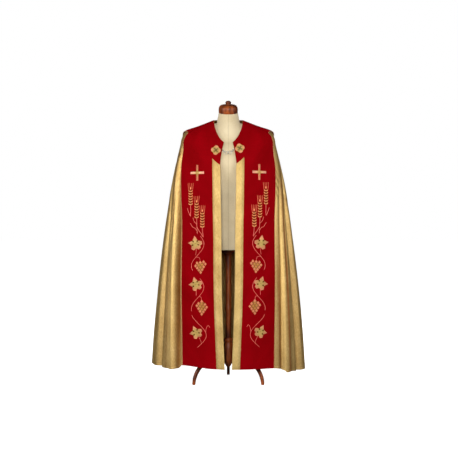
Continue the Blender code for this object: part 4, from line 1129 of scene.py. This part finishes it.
class Number:
    """A shader socket as a number: Python's operators on it add Math nodes."""

    def __init__(self, finish, socket):
        self.finish, self.socket = finish, socket

    def math(self, operation, *values):
        return self.finish.node("Math", {"operation": operation}, dict(enumerate(values)))

    def __add__(self, other):
        return self.math("ADD", self, other)

    def __sub__(self, other):
        return self.math("SUBTRACT", self, other)

    def __rsub__(self, other):
        return self.math("SUBTRACT", other, self)

    def __mul__(self, other):
        return self.math("MULTIPLY", self, other)

    def __abs__(self):
        return self.math("ABSOLUTE", self)

    def wave(self, pitch):
        """1 at every pitch and -1 between."""
        return self.math("COSINE", self * (2 * math.pi / pitch))

    def near(self, centre, width):
        """1 at the centre, falling to 0 at a width away from it."""
        return self.finish.node("MapRange", {"interpolation_type": "SMOOTHSTEP"}, {
            "Value": abs(self - centre), "From Min": 0.0, "From Max": width, "To Min": 1.0, "To Max": 0.0,
        })

    def between(self, low, high, start=0.0, end=1.0):
        """From start to end, straight, as this goes from low to high."""
        return self.finish.node("MapRange", {}, {"Value": self, "From Min": low, "From Max": high,
                                                 "To Min": start, "To Max": end})

    __radd__, __rmul__ = __add__, __mul__


class Finish:
    """A material on one Principled shader. Keyword arguments set the shader's own constants."""

    def __init__(self, name, **constants):
        self.material = bpy.data.materials.new(name)
        self.material.use_nodes = True
        self.tree = self.material.node_tree
        self.shader = self.tree.nodes["Principled BSDF"]
        for socket, value in constants.items():
            self.shader.inputs[socket.replace("_", " ")].default_value = value

    def node(self, kind, settings, values, output=0):
        """Add a node: its settings first, then the values or links of its sockets."""
        made = self.tree.nodes.new(f"ShaderNode{kind}")
        for name, value in settings.items():
            setattr(made, name, value)
        for name, value in values.items():
            if isinstance(value, Number):
                self.tree.links.new(value.socket, made.inputs[name])
            else:
                made.inputs[name].default_value = value
        return Number(self, made.outputs[output])

    def linked(self, **values):
        """The material, with what changes over the surface linked to the shader's sockets."""
        for name, value in values.items():
            self.tree.links.new(value.socket, self.shader.inputs[name.replace("_", " ")])
        return self.material

    def place(self):
        """Object coordinates."""
        return self.node("TexCoord", {}, {}, "Object")

    def cloth(self):
        """How far across and how far down the piece a point lies, each in metres, and both together."""
        both = self.node("UVMap", {"uv_map": "cloth"}, {})
        parts = [self.node("SeparateXYZ", {}, {"Vector": both}, k) for k in (0, 1)]
        return both, *parts

    def own(self, name):
        """A value kept with the mesh's points: edge, or the painted shade and highlight."""
        return self.node("Attribute", {"attribute_name": name}, {}, "Fac")

    def noise(self, vector, scale, detail=2.0, stretch=(1, 1, 1), roughness=0.5):
        """Noise of so many lumps in a metre, each direction's scale times its stretch."""
        if stretch != (1, 1, 1):
            vector = self.node("VectorMath", {"operation": "MULTIPLY"}, {0: vector, 1: stretch})
        values = {"Vector": vector, "Scale": scale, "Detail": detail, "Roughness": roughness}
        return self.node("TexNoise", {}, values)

    def mix(self, factor, a, b, way="MIX"):
        """A colour from a to b, or with MULTIPLY from a to a times b."""
        return self.node("Mix", {"data_type": "RGBA", "blend_type": way}, {0: factor, 6: a, 7: b}, 2)

    def bump(self, height, distance, strength=1.0, under=None):
        """A normal that leans as the height changes, over another one where that is given."""
        values = {"Height": height, "Distance": distance, "Strength": strength}
        if under:
            values["Normal"] = under
        return self.node("Bump", {}, values)


def gold_lame(name, deep, middle, bright, stitches, roughness=0.52, cloudy=0.2):
    """Woven metal thread: a fine weave with bright and dull threads, soft cloudiness, and a stitched hem.

    Painted shade makes it deeper and browner in the folds, and painted highlight makes it bright on their
    crests.
    """
    made = Finish(name, Metallic=0.84, Specular_Tint=bright)
    both, over, down = made.cloth()
    cloud = made.noise(both, 9.0, 2.0) - 0.5
    grain = made.noise(both, 520.0, 2.0)
    threads = made.noise(both, 60.0, 2.0, (9.0, 1.0, 1.0))
    tone = cloud * cloudy + grain * 0.75 + threads * 0.45 + 0.1
    base = made.mix(tone.between(0.45, 0.80), deep, middle)
    base = made.mix(tone.between(0.72, 1.02), base, bright)
    # Painted shade browns the gold where the kept shade is above 0, and painted highlight lightens it where
    # it is below 0.
    shade = made.own("shade")
    base = made.mix(shade.between(0.0, 1.15), base, colour(166, 106, 64), "MULTIPLY")
    base = made.mix(shade.between(0.0, -1.0, 0.0, 0.85), base, colour(255, 220, 142))
    weave = over.wave(0.0016) * down.wave(0.0014)
    edge = made.own("edge")
    seam = edge.near(stitches[0], 0.0012)
    stitch = seam * (down.wave(0.0042) + over.wave(0.0042)).between(-0.4, 0.6)
    base = made.mix(stitch * 0.5, base, deep)
    fine = made.bump(weave * 0.5 + grain * 1.6 + threads * 0.6, 0.00022, 0.55)
    sewn = made.bump(stitch * 0.4 - edge.near(stitches[0], 0.0035), stitches[1], 0.8, fine)
    return made.linked(Base_Color=base, Normal=sewn,
                       Roughness=grain.between(0.3, 0.7, roughness - 0.07, roughness + 0.10))


def red_fabric(name, deep, middle, bright):
    """Closely woven matt red cloth: a plain weave, faint cloudiness, and a stitched line inside the edge."""
    made = Finish(name, Sheen_Weight=0.02, Sheen_Roughness=0.5, Sheen_Tint=colour(255, 30, 30),
                  Specular_IOR_Level=0.02)
    both, over, down = made.cloth()
    cloud = made.noise(both, 6.0, 3.0)
    grain = made.noise(both, 420.0, 3.0)
    base = made.mix((cloud * 0.7 + grain * 0.5).between(0.40, 0.80), deep, middle)
    base = made.mix(grain.between(0.58, 0.80), base, bright)
    edge = made.own("edge")
    stitch = edge.near(0.006, 0.0009) * (down.wave(0.0036) + over.wave(0.0036)).between(-0.4, 0.6)
    base = made.mix(stitch * 0.6, base, deep)
    weave = over.wave(0.0012) * down.wave(0.0011)
    fine = made.bump(weave * 0.6 + grain, 0.00018, 0.6)
    sewn = made.bump(stitch * 0.4 - edge.near(0.006, 0.003), 0.0005, 0.8, fine)
    return made.linked(Base_Color=base, Normal=sewn, Roughness=grain.between(0.3, 0.7, 0.68, 0.88))


def satin_thread(name, shades, rim, rim_width, start=0.0, metallic=0.35, shadow=0.3, gloss=0.5):
    """Satin stitch: glossy threads laid side by side across the stroke, in a rim colour at its edges."""
    made = Finish(name, Metallic=metallic, Sheen_Weight=0.15 * gloss, Sheen_Roughness=0.4,
                  Specular_IOR_Level=gloss)
    both, along, over = made.cloth()
    away = abs(along - start)
    (begin, middle), *later = ((reached, colour(*shade)) for reached, shade in shades)
    for end, shade in later:
        middle = made.mix(away.between(begin, end), middle, shade)
        begin = end
    threads = (along + over * 0.45).wave(0.0008)
    grain = made.noise(both, 900.0, 1.0)
    dark = colour(116, 52, 18)
    # Darker at random with the grain, up to shadow.
    shade = made.mix(grain.between(0.3, 0.7, 0.0, shadow), middle, dark)
    base = made.mix(made.own("edge").between(0.0, rim_width), colour(*rim), shade)
    # Painted shade in the grooves between the threads, up to shadow.
    base = made.mix((threads * -1.0).between(0.2, 1.0, 0.0, shadow), base, dark)
    return made.linked(Base_Color=base, Normal=made.bump(threads + grain * 0.5, 0.00025, 0.7),
                       Roughness=grain.between(0.3, 0.7, 0.34, 0.50))


def rosette_thread():
    """The clasp's patches: gold petals with pink-gold tips, a green-gold heart and dark veins between."""
    made = Finish("clasp_thread", Metallic=0.40, Sheen_Weight=0.1)
    both, x, z = made.cloth()
    round_it = made.node("Math", {"operation": "ARCTAN2"}, {0: z, 1: x})
    petal = (round_it * 4.0).math("COSINE", round_it * 4.0)
    inward = made.own("edge")
    grain = made.noise(both, 420.0, 2.0)
    base = made.mix(grain.between(0.35, 0.65), colour(180, 138, 58), colour(240, 204, 120))
    tips = petal.between(-0.5, 0.7) * inward.between(0.18, 0.42, 1.0, 0.0)
    base = made.mix(tips, base, colour(252, 168, 122))
    base = made.mix(inward.between(0.60, 0.86), base, colour(104, 82, 8))
    veins = petal.between(-1.0, 0.3, 1.0, 0.0) * inward.near(0.56, 0.40)
    base = made.mix(veins, base, colour(62, 38, 2))
    base = made.mix(inward.between(0.0, 0.09, 0.8, 0.0), base, colour(196, 112, 66))
    twist = (round_it * 0.027 + inward * 0.012).wave(0.0022)
    # Painted shade in the grooves between the twisted threads.
    base = made.mix((twist * -1.0).between(0.0, 1.0, 0.0, 0.3), base, colour(120, 66, 30))
    return made.linked(Base_Color=base, Normal=made.bump(twist + grain, 0.0003, 0.8),
                       Roughness=grain.between(0.3, 0.7, 0.36, 0.5))


def piping_cord():
    """Gold cord: strands that wind round it, with painted shade between them and painted highlight on them.
    """
    made = Finish("gold_piping", Metallic=0.55, Sheen_Weight=0.1)
    both, along, around = made.cloth()
    twist = (along + around * 0.7).wave(0.0020)
    grain = made.noise(both, 900.0, 1.0)
    # Painted shade in the grooves between the strands and painted highlight on them.
    base = made.mix(twist.between(-1.0, 0.6), colour(140, 78, 30), colour(236, 170, 112))
    return made.linked(Base_Color=base, Normal=made.bump(twist + grain * 0.4, 0.0003, 0.8),
                       Roughness=grain.between(0.3, 0.7, 0.36, 0.5))


def silver():
    """The chain's wire: bright metal, a little tarnished."""
    made = Finish("silver_wire", Metallic=1.0)
    place_on = made.place()
    tarnish = made.noise(place_on, 260.0, 3.0)
    base = made.mix(tarnish.between(0.42, 0.70), colour(190, 190, 188), colour(118, 114, 106))
    scratch = made.noise(place_on, 900.0, 2.0, (1, 1, 4))
    return made.linked(Base_Color=base, Roughness=tarnish.between(0.3, 0.7, 0.18, 0.38),
                       Normal=made.bump(scratch, 0.00008, 0.4))


def calico():
    """The form's cover: plain-woven cotton with flecks, and pressed seams at front, back and sides."""
    made = Finish("calico_cover", Sheen_Weight=0.2, Sheen_Roughness=0.6, Specular_IOR_Level=0.25)
    place_on = made.place()
    x, y, z = (made.node("SeparateXYZ", {}, {"Vector": place_on}, k) for k in range(3))
    cloud = made.noise(place_on, 9.0, 3.0)
    fleck = made.noise(place_on, 260.0, 3.0)
    tone = (cloud * 0.6 + fleck * 0.4).between(0.35, 0.65)
    base = made.mix(tone, colour(210, 190, 150), colour(230, 213, 176))
    base = made.mix(fleck.between(0.66, 0.76), base, colour(176, 148, 100))
    seam = x.near(0.0, 0.0022) + (y - AXIS_Y).near(0.0, 0.0022)
    base = made.mix(seam * 0.45, base, colour(150, 124, 84))
    weave = x.wave(0.0013) * z.wave(0.0013)
    return made.linked(Base_Color=base, Roughness=fleck.between(0.3, 0.7, 0.72, 0.9),
                       Normal=made.bump(weave * 0.5 + fleck - seam * 2.5, 0.00025, 0.7))


def varnished_wood(name, stretch):
    """Turned mahogany under varnish: streaks along the grain, pores, and a clear glossy coat."""
    made = Finish(name, Coat_Weight=0.22, Coat_Roughness=0.38, Specular_IOR_Level=0.3)
    place_on = made.place()
    streak = made.noise(place_on, 70.0, 4.0, stretch, 0.6)
    pore = made.noise(place_on, 420.0, 2.0, stretch)
    broad = made.noise(place_on, 26.0, 2.0, stretch)
    tone = streak * 0.45 + broad * 0.55
    base = made.mix(tone.between(0.40, 0.60), colour(70, 24, 6), colour(166, 80, 28))
    base = made.mix(pore.between(0.60, 0.74), base, colour(62, 20, 8))
    return made.linked(Base_Color=base, Roughness=streak.between(0.3, 0.7, 0.38, 0.52),
                       Normal=made.bump(pore * -1.0 + streak * 0.4, 0.0002, 0.35))


def floor_finish():
    """Matt and nearly white, with a glow that keeps it so."""
    made = Finish("studio_floor", Roughness=0.9, Specular_IOR_Level=0.0, Emission_Color=(1, 1, 1, 1),
                  Emission_Strength=FLOOR_GLOW)
    grain = made.noise(made.place(), 3.0, 2.0)
    base = made.mix(grain.between(0.3, 0.7), colour(246, 246, 247), colour(250, 250, 250))
    return made.linked(Base_Color=base)


# ---------------------------------------------------------------- studio
def make_floor():
    """A flat disc just under the stand's feet, whose glow neither lights the pieces nor mirrors in them."""
    turn = np.linspace(0, 2 * math.pi, 64, endpoint=False)
    rim = np.stack([FLOOR_RADIUS * np.cos(turn), FLOOR_RADIUS * np.sin(turn), 0 * turn - FLOOR_DROP], 1)
    mesh = bpy.data.meshes.new("floor")
    mesh.from_pydata(rim.tolist(), [], [list(range(len(turn)))])
    mesh.materials.append(floor_finish())
    floor = in_scene("floor", mesh)
    floor.visible_diffuse = floor.visible_glossy = False


def make_lamps():
    """Square soft lamps, each turned to its aim."""
    for name, where, aim, size, power in LAMPS:
        light = bpy.data.lights.new(name, "AREA")
        light.energy, light.size = power, size
        lamp = in_scene(name, light)
        lamp.location = where
        lamp.rotation_euler = (Vector(where) - Vector(aim)).to_track_quat("Z", "Y").to_euler()


def make_surroundings():
    """Even and dim, and white where the camera sees them itself."""
    world = bpy.data.worlds.new("surroundings")
    bpy.context.scene.world = world
    world.use_nodes = True
    tree = world.node_tree
    dim, seen = tree.nodes["Background"], tree.nodes.new("ShaderNodeBackground")
    for background, strength in ((dim, SURROUNDINGS_STRENGTH), (seen, 1.0)):
        background.inputs["Color"].default_value = SURROUNDINGS
        background.inputs["Strength"].default_value = strength
    rays = tree.nodes.new("ShaderNodeLightPath")
    both = tree.nodes.new("ShaderNodeMixShader")
    for start, end in (
        (rays.outputs["Is Camera Ray"], both.inputs[0]), (dim.outputs[0], both.inputs[1]),
        (seen.outputs[0], both.inputs[2]), (both.outputs[0], tree.nodes["World Output"].inputs["Surface"]),
    ):
        tree.links.new(start, end)


def make_camera():
    """A level camera in front, and colours shown as they are."""
    camera = bpy.data.cameras.new("camera")
    camera.lens, camera.sensor_width = CAMERA_LENS, CAMERA_SENSOR
    eye = in_scene("camera", camera)
    eye.location, eye.rotation_euler = CAMERA_PLACE, (math.pi / 2, 0, 0)
    bpy.context.scene.camera = eye
    bpy.context.scene.view_settings.view_transform = "Standard"


# ---------------------------------------------------------------- all of it
def declare_sheet(made, node, cut, *under):
    """Hide the node that a piece stands for. Its cut and the pieces under it are not used."""
    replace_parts(made, node)


def main():
    make_floor()
    make_lamps()
    make_surroundings()
    make_camera()
    lame = gold_lame("gold_lame", colour(158, 116, 58), colour(224, 188, 120), colour(255, 232, 170),
                     (0.014, 0.0006))
    band_lame = gold_lame("band_lame", colour(152, 116, 62), colour(206, 176, 112), colour(242, 220, 160),
                          (0.005, 0.0005), 0.58, 0.45)
    red = red_fabric("red_cloth", colour(122, 0, 4), colour(150, 0, 11), colour(170, 2, 18))
    cord = piping_cord()
    threads = {name: satin_thread(f"{name}_thread", *row, **more) for name, (*row, more) in THREADS.items()}
    for side in SIDES:
        declare_sheet(make_cape(side, lame), f"cape_{side}", "cape", "form_torso")
        declare_sheet(make_panel(side, red), f"front_panel_{side}", "panel", f"cope_{side}")
        declare_sheet(make_band(side, band_lame), f"front_band_{side}", "band", f"cope_{side}")
        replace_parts(make_piping(side, cord), f"piping_{side}")
        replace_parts(make_rosette(side, rosette_thread()), f"rosette_{side}")
        upright, level = cross_strokes()
        grains, awns, stalks = ear_strokes()
        lobes, notches = leaf_strokes()
        inner, outer, under = berry_strokes()
        for name, strokes, thread in (
            ("cross_upright", upright, "upright"), ("cross_level", level, "level"),
            ("wheat_stalks", stalks, "notch"), ("wheat_grains", grains, "grain"), ("wheat_awns", awns, "awn"),
            ("stems", stem_strokes(), "stem"), ("vine_leaves", lobes, "leaf"),
            ("leaf_notches", notches, "notch"), ("bunch_grounds", under, "ground"),
            ("inner_grapes", inner, "berry"), ("outer_grapes", outer, "pale_berry"),
        ):
            needlework(name, side, strokes, threads[thread])
    declare_sheet(make_hood(red), "hood", "hood", "cope_left", "cope_right")
    make_hood_piping(cord)
    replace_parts(make_chain(silver()), *(f"chain_{number + 1}" for number in range(len(CHAIN))))
    torso = make_form(calico())
    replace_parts(torso, "form_torso")
    turned_wood = varnished_wood("turned_wood", (1, 1, 0.12))
    for name, node, profile, tilt, height in (
        ("turned_cap", "neck_cap", CAP_PROFILE, NECK_TILT, NECK[0][1]),
        ("turned_pole", "pole", POLE_PROFILE, 0.0, 0.0),
        ("turned_hub", "hub", HUB_PROFILE, 0.0, 0.0),
    ):
        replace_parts(piece(name, place(lathe_mesh(profile), tilt, height), turned_wood), node)
    bent_wood = varnished_wood("leg_wood", (0.5, 0.5, 0.5))
    for number in range(3):
        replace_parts(make_leg(number, bent_wood), f"leg_{number + 1}")


main()
